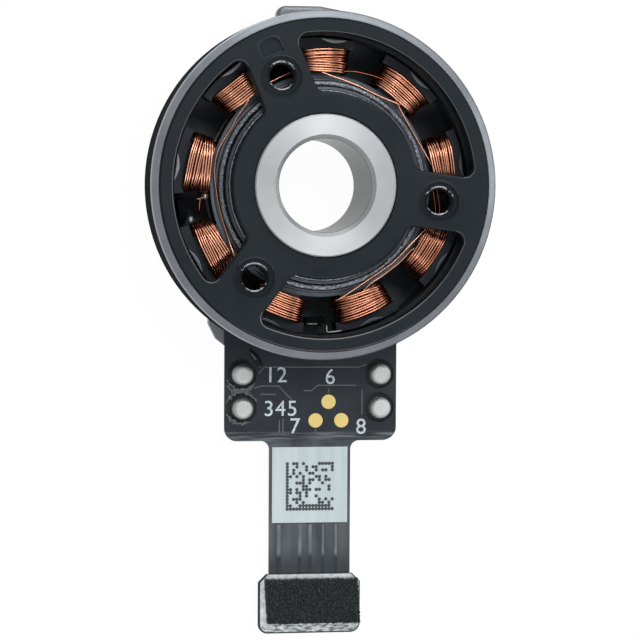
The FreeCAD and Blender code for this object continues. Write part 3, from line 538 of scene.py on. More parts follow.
def core_finish():
    """Coated laminations: a pebbled blue-grey coat with even sheet lines, and painted shade, dark and less
    glossy, on the teeth under the cap and on faces that turn sideways.
    """
    finish = Finish("coated_laminations", CORE_GREY, 0.42, 0.0, Specular_IOR_Level=CORE_SHEEN)
    sheets = finish.math("FRACT", finish.math("DIVIDE", finish.part("Z"), LAMINATION))
    seam = finish.under(sheets, SHEET_SEAM)
    clouds = finish.noise(0.9, 4.0)
    coat = finish.tint(finish.spread(clouds, 0.0, 1.0), CORE_GREY, CORE_PALE)
    facing = finish.node("SeparateXYZ", {0: finish.node("NewGeometry").outputs["Normal"]}).outputs["Z"]
    # Painted shade: teeth under the cap and faces that turn sideways go dark and lose gloss.
    tooth = finish.spread(finish.radius(), 0.0, TOOTH_SHADE, *TOOTH_START)
    side = finish.spread(facing, 1.0, 0.0, *SIDE_FACING)
    painted_shade = finish.most(tooth, side)
    shaded_coat = finish.tint(painted_shade, coat, CORE_SEAM_AND_SHADE)
    finish.tint(finish.times(seam, 0.5), shaded_coat, CORE_SEAM_AND_SHADE)
    finish.set("Specular IOR Level", finish.spread(painted_shade, CORE_SHEEN, SHADE_SHEEN, 0.0, TOOTH_SHADE))
    finish.set("Roughness", finish.spread(clouds, 0.34, 0.5))
    finish.relief(finish.noise(0.12, 3.0), 0.01)
    return finish.material


def spot_finish():
    """Steel where the coat of a shoe is rubbed off: the piece's attribute darkens some spots towards a dull
    colour, which is painted shade.
    """
    finish = Finish("bare_shoe_steel", SPOT_STEEL, 0.5, 0.9)
    clouds = finish.noise(0.3, 4.0)
    bare = finish.tint(finish.spread(clouds, 0.0, 1.0), SPOT_STEEL, SPOT_PALE)
    finish.tint(finish.node("Attribute", attribute_name="tone").outputs["Fac"], SPOT_SHADED, bare)
    finish.set("Roughness", finish.spread(clouds, 0.44, 0.56))
    finish.relief(finish.noise(0.1, 3.0), 0.004)
    return finish.material


def tube_finish(name, dark, pale, smoothest, depth, crest=0.0):
    """Dark plated steel: small pits in relief, cloudy gloss, and pale speckles above a crest's height."""
    finish = Finish(name, dark, smoothest, 0.9)
    pits = finish.noise(0.1, 3.0)
    high = finish.change(finish.part("Z"), 0.0, 1.0, crest, CREST_FADE)
    finish.tint(finish.times(finish.spread(pits, 0.0, 1.0), high), dark, pale)
    finish.set("Roughness", finish.spread(finish.noise(0.8, 2.0), smoothest, smoothest + TUBE_SWING))
    finish.relief(pits, depth)
    return finish.material


def film_finish():
    """Cover film of the circuit: fine pores, soft creases across the fold whose pale streaks are partly a
    painted highlight of the bend, faint clouding on the board, paler upright streaks on the tail that are
    painted highlights, and inside the motor, where it lies in shade, a paler, duller colour that is painted
    light."""
    finish = Finish("cover_film", FILM_GREY, 0.45, 0.0, Specular_IOR_Level=FILM_SHEEN)
    y = finish.part("Y")
    near_fold = finish.spread(finish.away(y, FOLD_PLACE), 1.0, 0.0, FOLD_FULL, FOLD_HALF)
    streaks = finish.noise(0.4, 4.0, (0.16, 2.4, 1.0))
    # Pale streaks at the fold: creases in relief, and in colour partly a painted highlight of the bend.
    crease_and_glint = finish.times(near_fold, finish.spread(streaks, 0.0, 1.0, 0.40, 0.64))
    clouds = finish.noise(2.2, 4.0)
    board = finish.tint(finish.spread(clouds, 0.0, 1.0), FILM_GREY, FILM_PALE)
    # Upright streaks on the tail: painted highlights.
    streak_highlight = finish.spread(finish.noise(0.75, 1.5, (1.0, 0.14, 1.0)), 0.2, 1.0)
    pale = finish.times(streak_highlight, finish.spread(y, STREAK_LEAST, 1.0, *TAIL_TURN))
    tail = finish.tint(pale, FILM_TAIL, FILM_STREAK_HIGHLIGHT)
    film = finish.tint(finish.spread(y, 1.0, 0.0, FOLD_PLACE - FOLD_RUN, FOLD_PLACE), board, tail)
    crease_glinted = finish.tint(crease_and_glint, film, FILM_CREASE_GLINT)
    # Painted light: the film inside the motor lies in shade and is lifted to a paler colour.
    inside_shade = finish.spread(finish.radius(), 1.0, 0.0, FILM_SHADE, FILM_SHADE + SHADE_RUN)
    finish.tint(inside_shade, crease_glinted, FILM_INNER_LIFT)
    finish.set("Specular IOR Level", finish.spread(inside_shade, FILM_SHEEN, INNER_SHEEN, 0.0, 1.0))
    finish.set("Roughness", finish.spread(clouds, 0.38, 0.5))
    pores = finish.relief(finish.noise(0.09, 2.0), 0.003)
    finish.relief(crease_and_glint, 0.02, pores)
    return finish.material


def strip_finish():
    """Film over a conductor's edge: pale streaks below the label that are painted highlights, then dark
    towards the plug.
    """
    finish = Finish("film_over_edge", STRIP_HIGHLIGHT, 0.4, 0.0, Specular_IOR_Level=0.15)
    # Pale streaks: painted highlights on the conductor ridges.
    ridge_glints = finish.spread(finish.noise(0.5, 3.0, (1.0, 0.25, 1.0)), 0.35, 1.0)
    along = finish.spread(finish.part("Y"), 0.0, 1.0, *STRIP_TURN)
    glinted_strips = finish.tint(ridge_glints, FILM_TAIL, STRIP_HIGHLIGHT)
    finish.tint(along, STRIP_DARK, glinted_strips)
    finish.relief(finish.noise(0.09, 2.0), 0.003)
    return finish.material


def label_finish():
    """Coated paper: fine fibres, a cool tone and faint upright streaks from the film under it."""
    finish = Finish("coated_label", LABEL_PALE, 0.55, 0.0, Specular_IOR_Level=0.35)
    streaks = finish.noise(0.7, 2.0, (1.0, 0.08, 1.0))
    fibres = finish.noise(0.06, 4.0, (1.0, 0.4, 1.0))
    finish.tint(finish.spread(streaks, 0.0, 1.0), LABEL_COOL, LABEL_PALE)
    finish.relief(finish.plus(fibres, streaks), 0.006)
    return finish.material


def foam_finish():
    """Open foam with a felted skin: black pores, grey fibre ends."""
    finish = Finish("felted_foam", FOAM_BLACK, 0.95, 0.0, Specular_IOR_Level=0.2, Sheen_Weight=0.1)
    ends = finish.noise(0.10, 4.0)
    finish.tint(finish.spread(ends, 0.0, 1.0, 0.46, 0.7), FOAM_BLACK, FOAM_GREY)
    finish.relief(finish.noise(0.07, 3.0), 0.05)
    return finish.material


def plate_finish():
    """End plate: satin metal, smeared with foam and glue along its lower edge."""
    finish = Finish("end_plate_steel", PLATE_GREY, 0.5, 1.0)
    clouds = finish.noise(0.35, 4.0)
    plain = finish.tint(finish.spread(clouds, 0.0, 1.0), PLATE_GREY, PLATE_PALE)
    low = finish.change(finish.part("Y"), 1.0, 0.0, SMEAR_PLACE, SMEAR_SOFT)
    streaks = finish.noise(0.17, 4.0, (0.4, 1.3, 1.0))
    smear = finish.times(low, finish.spread(streaks, 0.0, SMEAR_MOST, *SMEAR_SPAN))
    finish.tint(smear, plain, FOAM_GREY)
    finish.set("Metallic", finish.less(1.0, smear))
    finish.relief(clouds, 0.012)
    return finish.material


# Sleeve, bearings and plain grain; colours are the light that a surface gives back
TURNING_PULL = 0.5
TURNED_EDGE = (0.60, 0.61, 0.61, 1.0)
CUT_LEAN = (0.0, 0.0, 0.2)
BORE = 3.12
BORE_GLOSS = 0.26
# Colour of the bore: painted shade.
BORE_SHADE_GREY = (0.10, 0.104, 0.104)
LATHE_LINE = 0.05
TURNED_SWING = 0.07
GRAIN_SWING = 0.06
TUBE_SWING = 0.12

# Cap: colours, lips, seam, rim, index recess and screw holes
CAP_BLACK = (0.0040, 0.0056, 0.0076)
CAP_PALE = (0.0068, 0.0088, 0.0114)
CAP_TINT = (0.80, 0.93, 1.0, 1.0)
CAP_SHEEN = 0.15
LIP_PLACE = 6.972
LIP_HALF = 0.014
LIP_CIRCLE = 9.75
LIP_REACH = 0.45
# Painted highlight on the window lips: where it fades along Y, and how strong it is.
LIP_FADE = (-8.2, -5.8)
LIP_GLINT = (0.30, 0.16)
SEAM_WIDE = 0.10
SEAM_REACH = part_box("hollow_shaft")[1].x / MM + SEAM_WIDE
SEAM_FADE = (-3.0, 2.0)
SEAM_LEAST = 0.2
SEAM_SOFT = 0.04
# Colour of the painted shadow in the seam and the painted shade in the holes.
SEAM_SHADOW = (0.0008, 0.0012, 0.0016)
CAP_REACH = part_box("rotor_cap")[1].x / MM
RIM_WIDE = 0.06
# Painted highlight on the lower rim: where it fades along Y, and how strong it is.
RIM_FADE = (-10.6, -8.4)
RIM_GLINT = (0.20, 0.0)
MARK_PLACE = 2.09
MARK_LONG = 1.1
MARK_WIDE = 1.5
MARK_ROUND = 0.3
MARK_EDGE = (0.02, 0.09)
# Paler grey of the painted highlights on the index recess's edge and the hole rims.
MARK_HIGHLIGHT = (0.020, 0.023, 0.026)
CAP_TURN = 112.4
CAP_HOLES = 3
HOLE_CIRCLE = 7.7
HOLE_RIM = 1.36
HOLE_RIM_EDGE = (0.03, 0.09)
HOLE_RIM_FADE = (0.1, 0.9)
HOLE_SHADE = 0.3
HOLE_SOFT = 0.05
# Worn circles at a screw hole, partly a painted highlight: radius, half width, and the side that is worn and
# catches the light
MOUTH_WEAR_AND_GLINT = ((0.97, 0.055, 1.0), (0.85, 0.045, -1.0))
MOUTH_BARE = 0.8
MOUTH_FADE = (0.55, 0.85)
# Bare metal of wear, also the colour of the painted highlights on the cap and the ring's edge.
BARE_METAL_GLINT = (0.46, 0.47, 0.48)

# Flux ring
RING_BLACK = (0.014, 0.016, 0.019)
RING_SPECK = (0.030, 0.033, 0.038)
BEVEL_GREY = (0.150, 0.163, 0.181)
BEVEL_PALE = (0.190, 0.204, 0.224)
BEVEL_LOW = 6.59
BEVEL_SOFT = 0.02
BEVEL_METAL = 0.95
BEVEL_SHEEN = 0.25
# Strength of the painted highlight and shade on the bevel's outer edge.
EDGE_GLINT = 0.6
EDGE_REACH = (0.02, 0.08)
EDGE_FADE = (-6.0, 0.0)

# Copper
COPPER = (0.765, 0.392, 0.262)
COPPER_DEEP = (0.245, 0.058, 0.017)
TONE_SHARE = 0.9
STAIN_SHARE = 0.25
TONE_SPAN = (0.2, 1.1)

# Core and shoes
CORE_GREY = (0.062, 0.074, 0.096)
CORE_PALE = (0.092, 0.106, 0.132)
# Dark of the sheet joints, also the colour of the painted shade on teeth and sides.
CORE_SEAM_AND_SHADE = (0.0085, 0.0095, 0.011)
CORE_SHEEN = 0.5
SHADE_SHEEN = 0.08
LAMINATION = 0.2
SHEET_SEAM = 0.16
TOOTH_SHADE = 0.85
TOOTH_START = (7.2, 7.5)
SIDE_FACING = (0.3, 0.8)
# Colour of the spots in shade: painted shade.
SPOT_SHADED = (0.040, 0.046, 0.055)
SPOT_STEEL = (0.13, 0.14, 0.15)
SPOT_PALE = (0.20, 0.21, 0.22)

# Tube and its ridges
TUBE_BLACK = (0.050, 0.053, 0.058)
TUBE_PALE = (0.090, 0.095, 0.102)
SPECKLE_BLACK = (0.030, 0.034, 0.040)
SPECKLE_PALE = (0.150, 0.161, 0.176)
RIM_PALE = (0.300, 0.316, 0.338)
RIM_CREST = TUBE_TOP + 0.07
COAT_CREST = TUBE_TOP - 0.41
CREST_FADE = 0.03

# Film of the board and the tail
FILM_GREY = (0.0170, 0.0210, 0.0270)
FILM_PALE = (0.0250, 0.0300, 0.0370)
FILM_TAIL = (0.0270, 0.0335, 0.0370)
# Colour of the painted highlight streaks on the tail.
FILM_STREAK_HIGHLIGHT = (0.0890, 0.1010, 0.1120)
# Pale colour of the fold's creases, partly a painted highlight.
FILM_CREASE_GLINT = (0.112, 0.126, 0.138)
FILM_SHEEN = 0.10
STREAK_LEAST = 0.12
TAIL_TURN = (-25.9, -24.6)
# Paler film colour inside the motor: painted light.
FILM_INNER_LIFT = (0.066, 0.077, 0.088)
FILM_SHADE = 10.8
SHADE_RUN = 0.2
INNER_SHEEN = 0.02
# Colour of the painted highlights on the strips.
STRIP_HIGHLIGHT = (0.155, 0.168, 0.180)
STRIP_DARK = (0.0200, 0.0240, 0.0290)
STRIP_TURN = (-25.4, -25.0)
TRACE_GREY = (0.060, 0.065, 0.072)
TRACE_PALE = (0.090, 0.096, 0.105)
FOLD_PLACE = -17.1
FOLD_HALF = 0.42
FOLD_FULL = FOLD_HALF * 0.6
FOLD_RUN = 0.6

# Label, foam, end plate and prints
LABEL_PALE = (0.465, 0.535, 0.555)
LABEL_COOL = (0.375, 0.442, 0.465)
FOAM_BLACK = (0.0045, 0.0060, 0.0070)
FOAM_GREY = (0.033, 0.045, 0.052)
PLATE_GREY = (0.22, 0.233, 0.233)
PLATE_PALE = (0.38, 0.40, 0.40)
SMEAR_PLACE = -29.95
SMEAR_SOFT = 0.05
SMEAR_MOST = 0.85
SMEAR_SPAN = (0.42, 0.62)
INK_BLACK = (0.012, 0.014, 0.016)
INK_GREY = (0.03, 0.035, 0.038)
PRINT_WHITE = (0.57, 0.65, 0.67)
PRINT_GREY = (0.30, 0.35, 0.37)

# Finishes by slot of the record, and those that only added pieces have
FINISHES = {
    "turned_sleeve": turned_finish("turned_aluminium", (0.268, 0.279, 0.286), (0.312, 0.323, 0.330),
                                   0.46, 0.002, BORE, BORE_SHADE_GREY),
    "black_cap": cap_finish(),
    "grey_ring": ring_finish(),
    "spring_steel": metal_finish("spring_steel", (0.42, 0.42, 0.43), (0.5, 0.5, 0.51), 0.28, 0.05, 0.001),
    "silver_base": metal_finish("satin_silver", (0.098, 0.104, 0.111), (0.128, 0.135, 0.143),
                                0.40, 0.06, 0.002),
    "black_tube": tube_finish("dark_plated_steel", TUBE_BLACK, TUBE_PALE, 0.12, 0.002),
    "tube_rim": tube_finish("speckled_rim", SPECKLE_BLACK, RIM_PALE, 0.26, 0.008, RIM_CREST),
    "speckled_coat": tube_finish("speckled_coat", SPECKLE_BLACK, SPECKLE_PALE, 0.30, 0.008, COAT_CREST),
    "coated_core": core_finish(),
    "copper_wire": copper_finish(),
    "board_stiffener": grained_finish("stiffener_board", (0.010, 0.0125, 0.0155), (0.016, 0.0195, 0.0235),
                                      0.6, 0.08, 0.004, Specular_IOR_Level=0.2),
    "flex_circuit": film_finish(),
    "silver_pin": metal_finish("cast_silver", (0.28, 0.288, 0.286), (0.39, 0.40, 0.396), 0.58, 0.25, 0.03),
    "gold_pad": metal_finish("gold_plate", (0.42, 0.33, 0.122), (0.46, 0.365, 0.145), 0.42, 0.05, 0.001),
    "label": label_finish(),
    "end_plate": plate_finish(),
    "foam": foam_finish(),
    "plug_housing": grained_finish("moulded_black", (0.018, 0.018, 0.019), (0.026, 0.026, 0.027),
                                   0.48, 0.05, 0.003),
    "sensor": grained_finish("sensor_epoxy", (0.003, 0.0036, 0.0040), (0.0045, 0.0054, 0.0060),
                             0.5, 0.06, 0.003, Specular_IOR_Level=0.02),
    "magnet": grained_finish("magnet_epoxy", (0.016, 0.0185, 0.0205), (0.022, 0.0255, 0.028),
                             0.5, 0.07, 0.002, Specular_IOR_Level=0.08),
    "bearing_steel": turned_finish("ground_steel", (0.55, 0.55, 0.56), (0.62, 0.62, 0.63), 0.18, 0.0006),
    "bearing_cage": grained_finish("cage_nylon", (0.30, 0.24, 0.14), (0.36, 0.29, 0.18), 0.5, 0.05, 0.003),
    "ink": grained_finish("label_ink", INK_BLACK, INK_GREY, 0.6, 0.04, 0.002),
    "print": grained_finish("white_print", PRINT_GREY, PRINT_WHITE, 0.6, 0.05, 0.003, cloud=0.16),
    "strip": strip_finish(),
    "trace": grained_finish("film_over_trace", TRACE_GREY, TRACE_PALE, 0.4, 0.09, 0.003,
                            Specular_IOR_Level=0.3),
    "bare_shoe": spot_finish(),
    "tinned": metal_finish("tinned_lead", (0.15, 0.158, 0.158), (0.25, 0.26, 0.26), 0.5, 0.05, 0.002),
    "varnish": grained_finish("clear_varnish", (0.034, 0.042, 0.046), (0.055, 0.064, 0.070),
                              0.10, 0.3, 0.004, Specular_IOR_Level=1.0, Coat_Weight=1.0),
    "glue": grained_finish("black_epoxy", (0.006, 0.0068, 0.008), (0.010, 0.0112, 0.013), 0.2, 0.3, 0.01,
                           Specular_IOR_Level=0.12),
    "residue": grained_finish("flux_residue", (0.022, 0.026, 0.031), (0.115, 0.124, 0.130), 0.3, 0.08, 0.02,
                              cloud=0.14, Specular_IOR_Level=0.3),
}


def dress_nodes():
    """Every node of the frame takes the finish of its slot in the record."""
    for row in frame["record"]["subparts"]:
        node = frame["nodes"][row["node"]]
        node.data.materials.clear()
        node.data.materials.append(FINISHES[row["material_slot"]])


# Windings
def slow_wave(angle, rng, size):
    """Sum of six sine waves of random phase and of up to 1.4 cycles a turn."""
    cycles = rng.uniform(*WAVE_CYCLES, WAVE_COUNT)[:, None]
    phases = rng.uniform(0, 2 * np.pi, WAVE_COUNT)[:, None]
    return size * np.sin(angle * cycles + phases).sum(axis=0) / np.sqrt(WAVE_COUNT)


def winding(number):
    """The wire of one coil. Its place along the tooth is a triangle wave of the winding angle, out and back
    in passes, and each pass lies one wire further from the tooth. Across and up it follows a superellipse,
    rounder than a rectangle. Slow random waves loosen the turns, and the outer ones bow round the shoe."""
    rng = np.random.default_rng(SEED + number)
    turns = PASS_TURNS * 2 + int(rng.integers(*SPARE_TURNS))
    angle = np.linspace(0, 2 * np.pi * turns, turns * STEPS_PER_TURN + 1) - np.pi / 2
    passes = (angle + np.pi / 2) / (2 * np.pi * PASS_TURNS)
    along = np.abs((passes + 1) % 2 - 1)
    whole = np.floor(passes)
    layer = whole + np.clip((passes - whole - 1) * PASS_TURNS + 1, 0, 1)
    inset = WIRE_RADIUS + (LAST_LAYER - layer) * LAYER_STEP + slow_wave(angle, rng, LOOSE_DEPTH)
    half_width = COIL_INNER_HALF + (COIL_OUTER_HALF - COIL_INNER_HALF) * along - inset
    half_height = (COIL_TOP - COIL_LOW) / 2 - inset
    slant = np.interp(layer, np.arange(SLANT_MARKS), rng.uniform(-SLANT, SLANT, SLANT_MARKS))
    bend, rise = np.cos(angle), np.sin(angle)
    across = half_width * np.sign(bend) * np.abs(bend) ** LOOP_POWER
    up = half_height * np.sign(rise) * np.abs(rise) ** LOOP_POWER
    bow = SHOE_BOW * along * (across / COIL_OUTER_HALF) ** 2
    out = COIL_INNER + WIRE_RADIUS + along * (COIL_OUTER - COIL_INNER - 2 * WIRE_RADIUS)
    out = out + slant * bend + slow_wave(angle, rng, LOOSE_ALONG) - bow
    tooth = np.radians(FIRST_TOOTH + TOOTH_PITCH * (number - 1))
    outward = np.array([np.cos(tooth), np.sin(tooth), 0.0])
    sideways = np.array([-np.sin(tooth), np.cos(tooth), 0.0])
    middle = UPWARD * (COIL_LOW + COIL_TOP) / 2
    path = middle + out[:, None] * outward + across[:, None] * sideways + up[:, None] * UPWARD
    count = np.arange(turns + 2)
    tones = rng.uniform(*TURN_TONES, turns + 2) * np.where(count < PASS_TURNS, INNER_SHADE_TONE, 1.0)
    tone = np.interp((angle + np.pi / 2) / (2 * np.pi), count, tones)
    # Painted shade darkens the coil towards its ends, where the wire turns down.
    tone = COIL_LIGHT_TONES[number - 1] * tone * (1 - END_SHADE * (across / half_width) ** 4)
    coil = make_piece(f"winding_{number}", sweep(path, outward, WIRE_RADIUS), FINISHES["copper_wire"],
                      "stator", [f"coil_{number}"])
    give_tone(coil, tone, np.pi)


def give_tone(piece, tone, crest):
    """Stores the tone of each point for the copper's colour, with painted light and shade round the wire: it
    falls as a power of the cosine of the angle round the wire from its crest."""
    turn = np.linspace(0, 2 * np.pi, WIRE_SIDES, endpoint=False)
    over = np.clip(np.cos(turn - crest), 0, 1) ** CROWN_POWER
    store_tone(piece, (tone[:, None] * over).ravel())


def store_tone(piece, values):
    """Keeps one number for each point, for a finish to read."""
    attribute = piece.data.attributes.new("tone", "FLOAT", "POINT")
    attribute.data.foreach_set("value", values.astype(np.float32))


# Wires that cross from coil to coil, by angle, radius and height along them
CROSSOVERS = {
    "crossover_wire_1": [
        [(90.5, 7.50, 5.60), (86.5, 7.32, 5.64), (73.0, 7.05, 5.69), (58.0, 7.05, 5.69),
         (49.5, 7.34, 5.62), (47.0, 7.46, 5.58), (45.0, 7.62, 5.50)],
        [(50.5, 7.62, 5.50), (48.0, 7.46, 5.54), (45.5, 7.36, 5.52), (28.6, 7.12, 5.32),
         (11.4, 7.52, 5.46), (7.0, 7.60, 5.40)],
    ],
    "crossover_wire_2": [
        [(124.0, 7.95, 5.60), (128.8, 7.60, 5.58), (134.1, 7.37, 5.45), (141.0, 7.23, 5.38),
         (148.0, 7.12, 5.32), (161.5, 7.28, 5.36), (172.3, 7.22, 5.34), (184.4, 7.02, 5.18),
         (194.2, 6.97, 5.12), (210.0, 7.16, 5.25), (218.0, 7.44, 5.42), (221.0, 7.60, 5.40)],
    ],
    "crossover_wire_3": [
        [(341.0, 7.85, 5.42), (337.6, 7.54, 5.60), (325.5, 7.08, 5.80), (313.6, 6.96, 5.83),
         (305.4, 6.91, 5.83), (296.2, 6.96, 5.80), (285.5, 7.30, 5.60), (278.4, 7.66, 5.42),
         (276.4, 7.74, 4.90), (275.6, 7.78, 3.50), (275.0, 7.82, FILM_TOP)],
        [(331.0, 7.80, 5.55), (327.3, 7.58, 5.52), (324.4, 7.40, 5.50), (316.5, 7.33, 5.46),
         (306.2, 7.25, 5.46), (296.8, 7.31, 5.50), (291.5, 7.56, 5.50)],
    ],
    "crossover_wire_4": [
        [(121.4, 7.67, 5.42), (114.6, 7.64, 5.36), (110.3, 7.69, 5.33), (106.0, 7.75, 5.36),
         (99.4, 7.96, 5.42)],
    ],
    "crossover_wire_5": [
        [(361.5, 7.50, 5.42), (355.4, 7.61, 5.36), (350.6, 7.80, 5.34), (343.4, 8.04, 5.40),
         (340.0, 8.1, 5.4)],
        [(360.7, 7.75, 5.42), (354.6, 7.93, 5.36), (350.0, 8.12, 5.34), (343.2, 8.30, 5.40),
         (340.0, 8.35, 5.4)],
    ],
    "crossover_wire_6": [
        [(79.0, 7.72, 5.30), (74.0, 7.88, 5.28), (69.0, 7.98, 5.28), (64.0, 8.10, 5.28),
         (58.0, 8.22, 5.30)],
    ],
}
WIRE_CLEARANCE = 0.01
COLLAR_REACH = 7.5
CROSSOVER_RADII = {"crossover_wire_5": 0.038, "crossover_wire_6": 0.028}
CROSSOVER_TONE = 0.8
# Lower tones for wires that lie in shade under the cap: painted shade.
CROSSOVER_SHADE_TONES = {"crossover_wire_4": 0.45, "crossover_wire_5": 0.14, "crossover_wire_6": 0.1}
CROSSOVER_STANDS_FOR = {f"crossover_wire_{k}": [f"phase_wire_{k}"] for k in (1, 2, 3)}


def crossover_wires():
    """Single wires as round rods along smooth curves through the marks, lifted clear of the core's collar,
    each with one tone."""
    for name, spans in CROSSOVERS.items():
        marks = [polar(*np.array(span).T) for span in spans]
        radius = CROSSOVER_RADII.get(name, CROSS_RADIUS)
        for points in marks:
            over_collar = np.hypot(points[:, 0], points[:, 1]) < COLLAR_REACH
            lowest = np.where(over_collar, COLLAR_TOP + CROSS_RADIUS + WIRE_CLEARANCE, 0.0)
            points[:, 2] = np.maximum(points[:, 2], lowest)
        shape = joined([sweep(smooth_line(points), UPWARD, radius) for points in marks])
        wire = make_piece(name, shape, FINISHES["copper_wire"], "stator",
                          CROSSOVER_STANDS_FOR.get(name, ()))
        tone = CROSSOVER_SHADE_TONES.get(name, CROSSOVER_TONE)
        give_tone(wire, np.full(len(shape[0]) // WIRE_SIDES, tone), np.pi / 2)


# Bare spots on the shoes
SPOT_HALF = 5.4
SPOT_TIP = 0.97
SPOT_DEEP = 0.34
SPOT_HIGH = 0.012
SPOT_INSET = 0.02
SPOT_ROWS = 5
SPOT_COLUMNS = 25
# Tones of the spots, lower on shoes that lie in shade: painted shade.
SPOT_SHADE_TONES = (0.2, 0.6, 1.0, 0.9, 0.9, 0.5, 0.1, 0.15, 0.12)
SPOT_SHIFTS = (-2.0, -3.3, -5.0, -2.0, 3.0, 1.0, -1.0, 1.0, -2.0)


def shoe_spots():
    """Bare steel half-moons on the shoes: between the shoe's edge and an arc that leaves it as a cosine."""
    turn = np.linspace(-SPOT_TIP, SPOT_TIP, SPOT_COLUMNS)[None, :]
    share = np.linspace(0, 1, SPOT_ROWS)[:, None]
    depth = SPOT_DEEP * np.cos(turn * np.pi / 2)
    parts = []
    for tooth in range(TOOTH_COUNT):
        angle = FIRST_TOOTH + TOOTH_PITCH * tooth + SPOT_SHIFTS[tooth] + SPOT_HALF * turn
        radius = SHOE_OUTER - SPOT_INSET - depth * (1 - share)
        height = SHOE_TOP + SPOT_HIGH * np.sin(np.pi * share) * np.cos(turn * np.pi / 2)
        parts.append(sheet_solid(polar(angle + 0 * share, radius, height)[:, ::-1]))
    spots = make_piece("shoe_spots", joined(parts), FINISHES["bare_shoe"], "stator")
    store_tone(spots, np.repeat(SPOT_SHADE_TONES, len(parts[0][0])))


# Ridges of the tube by name: foot, roughness, finish, and the section's radii and rises from the outside in
RIDGES = {
    "tube_ridge": (TUBE_TOP - 0.05, 0.006, "tube_rim", (
        (6.53, 0.0), (6.50, 0.04), (6.36, 0.06), (6.28, 0.13), (6.22, 0.145), (6.15, 0.09), (6.05, 0.0))),
    "coat_ridge": (TUBE_TOP - 0.50, 0.009, "speckled_coat", (
        (6.98, 0.0), (6.93, 0.07), (6.84, 0.12), (6.73, 0.15), (6.64, 0.13), (6.57, 0.08), (6.54, 0.0))),
}
RIDGE_SEED = SEED + 40
RIDGE_STEPS = 4
RIDGE_COLUMNS = 720
PEBBLE_CELLS = 2.0


def rim_ridges():
    """Two rolled ridges round the tube: the section is a smooth curve through its marks, turned about the
    axis, roughened by filtered noise that fades at the feet, and closed below."""
    rng = np.random.default_rng(RIDGE_SEED)
    angle = np.linspace(0, 360, RIDGE_COLUMNS, endpoint=False)[None, :]
    for name, (foot, rough, finish, section) in RIDGES.items():
        profile = smooth_line([(radius, 0.0, rise) for radius, rise in section], RIDGE_STEPS)
        rows = len(profile)
        pebbles = filtered_noise((rows, RIDGE_COLUMNS), PEBBLE_CELLS, rng)
        rise = np.maximum(profile[:, 2:], 0.0)
        height = foot + rise + rough * pebbles * rise / rise.max()
        points = polar(angle, profile[:, :1], height).reshape(-1, 3)
        shape = points, grid_faces(rows, RIDGE_COLUMNS, True, True)
        make_piece(name, shape, FINISHES[finish], "stator")


# Rims round the cap's screw holes
HOLE_RIM_HALF = 0.06
HOLE_RIM_HIGH = 0.035
HOLE_RIM_SUNK = 0.01
HOLE_RIM_STEPS = 9
HOLE_RIM_COLUMNS = 96


def hole_rims():
    """Low rims round the cap's screw holes: half an ellipse of distance and height, carried round each hole
    and closed below."""
    turn = np.linspace(0, np.pi, HOLE_RIM_STEPS)[:, None]
    angle = np.linspace(0, 360, HOLE_RIM_COLUMNS, endpoint=False)[None, :]
    height = CAP_TOP - HOLE_RIM_SUNK + (HOLE_RIM_SUNK + HOLE_RIM_HIGH) * np.sin(turn)
    rim = polar(angle, HOLE_RIM + HOLE_RIM_HALF * np.cos(turn), height).reshape(-1, 3)
    faces = grid_faces(HOLE_RIM_STEPS, HOLE_RIM_COLUMNS, True, True)
    places = polar(CAP_TURN + 360.0 / CAP_HOLES * np.arange(CAP_HOLES), HOLE_CIRCLE, 0.0)
    rims = joined([(rim + place, faces) for place in places])
    make_piece("hole_rims", rims, FINISHES["black_cap"], "rotor")


# Filler between the magnets, with the section's corners as radius and height
MAGNET_COUNT = 12
FILLER_HALF = 0.9
FILLER_RINGS = 3
FILLER_CORNERS = ((9.98, 2.84), (9.98, 5.16), (10.56, 5.16), (10.56, 2.84))


def magnet_filler():
    """Epoxy between the magnets: a rectangle of radius and height, carried round an arc at each joint."""
    radius, height = np.array(FILLER_CORNERS).T
    turn = np.linspace(-FILLER_HALF, FILLER_HALF, FILLER_RINGS)[:, None]
    faces = tube_faces(FILLER_RINGS, len(radius))
    parts = [(polar(360.0 / MAGNET_COUNT * joint + turn, radius, height).reshape(-1, 3), faces)
             for joint in range(MAGNET_COUNT)]
    make_piece("magnet_filler", joined(parts), FINISHES["magnet"], "rotor", smooth=False)


# Terminals in two slots: posts by finish, place, top and drop radius, rods by radius and marks
SLOT_POSTS = (("varnish", -7.67, -0.73, 4.60, 0.27), ("tinned", -8.64, -2.29, 4.70, 0.25))
POST_RADIUS = 0.10
POST_SIDES = 24
POST_STEPS = 6
DROP_STEPS = 14
DROP_SPAN = (-1.3, 1.5)
SLOT_RODS = (
    (0.05, ((-7.75, -0.85, 4.45), (-8.00, -0.90, 4.45), (-8.21, -0.93, 4.40), (-8.25, -0.95, 4.10),
            (-8.25, -0.98, 3.0), (-8.25, -0.98, FILM_TOP))),
    (0.065, ((-0.58, -9.300, SENSOR_TOP), (-0.24, -9.300, SENSOR_TOP + 0.02), (0.10, -9.300, SENSOR_TOP))),
    (0.07, ((0.45, -9.34, SENSOR_TOP), (0.45, -9.34, 4.80), (0.45, -9.42, 4.95), (0.45, -9.66, 4.97),
            (0.54, -9.76, 4.97), (1.00, -9.73, 4.97), (1.46, -9.66, 4.96))),
)
ROD_SIDES = 12
ROD_AWAY = (0.8, 0.6, 0.0)
WIRE_END = ((-7.80, -0.84, 4.50), (-8.00, -0.95, 4.47), (-8.05, -1.73, 4.20), (-8.05, -1.90, 3.60),
            (-8.05, -1.95, 2.50), (-8.05, -1.95, FILM_TOP))
WIRE_END_AWAY = (-0.6, 0.8, 0.0)
WIRE_END_TONE = 0.5


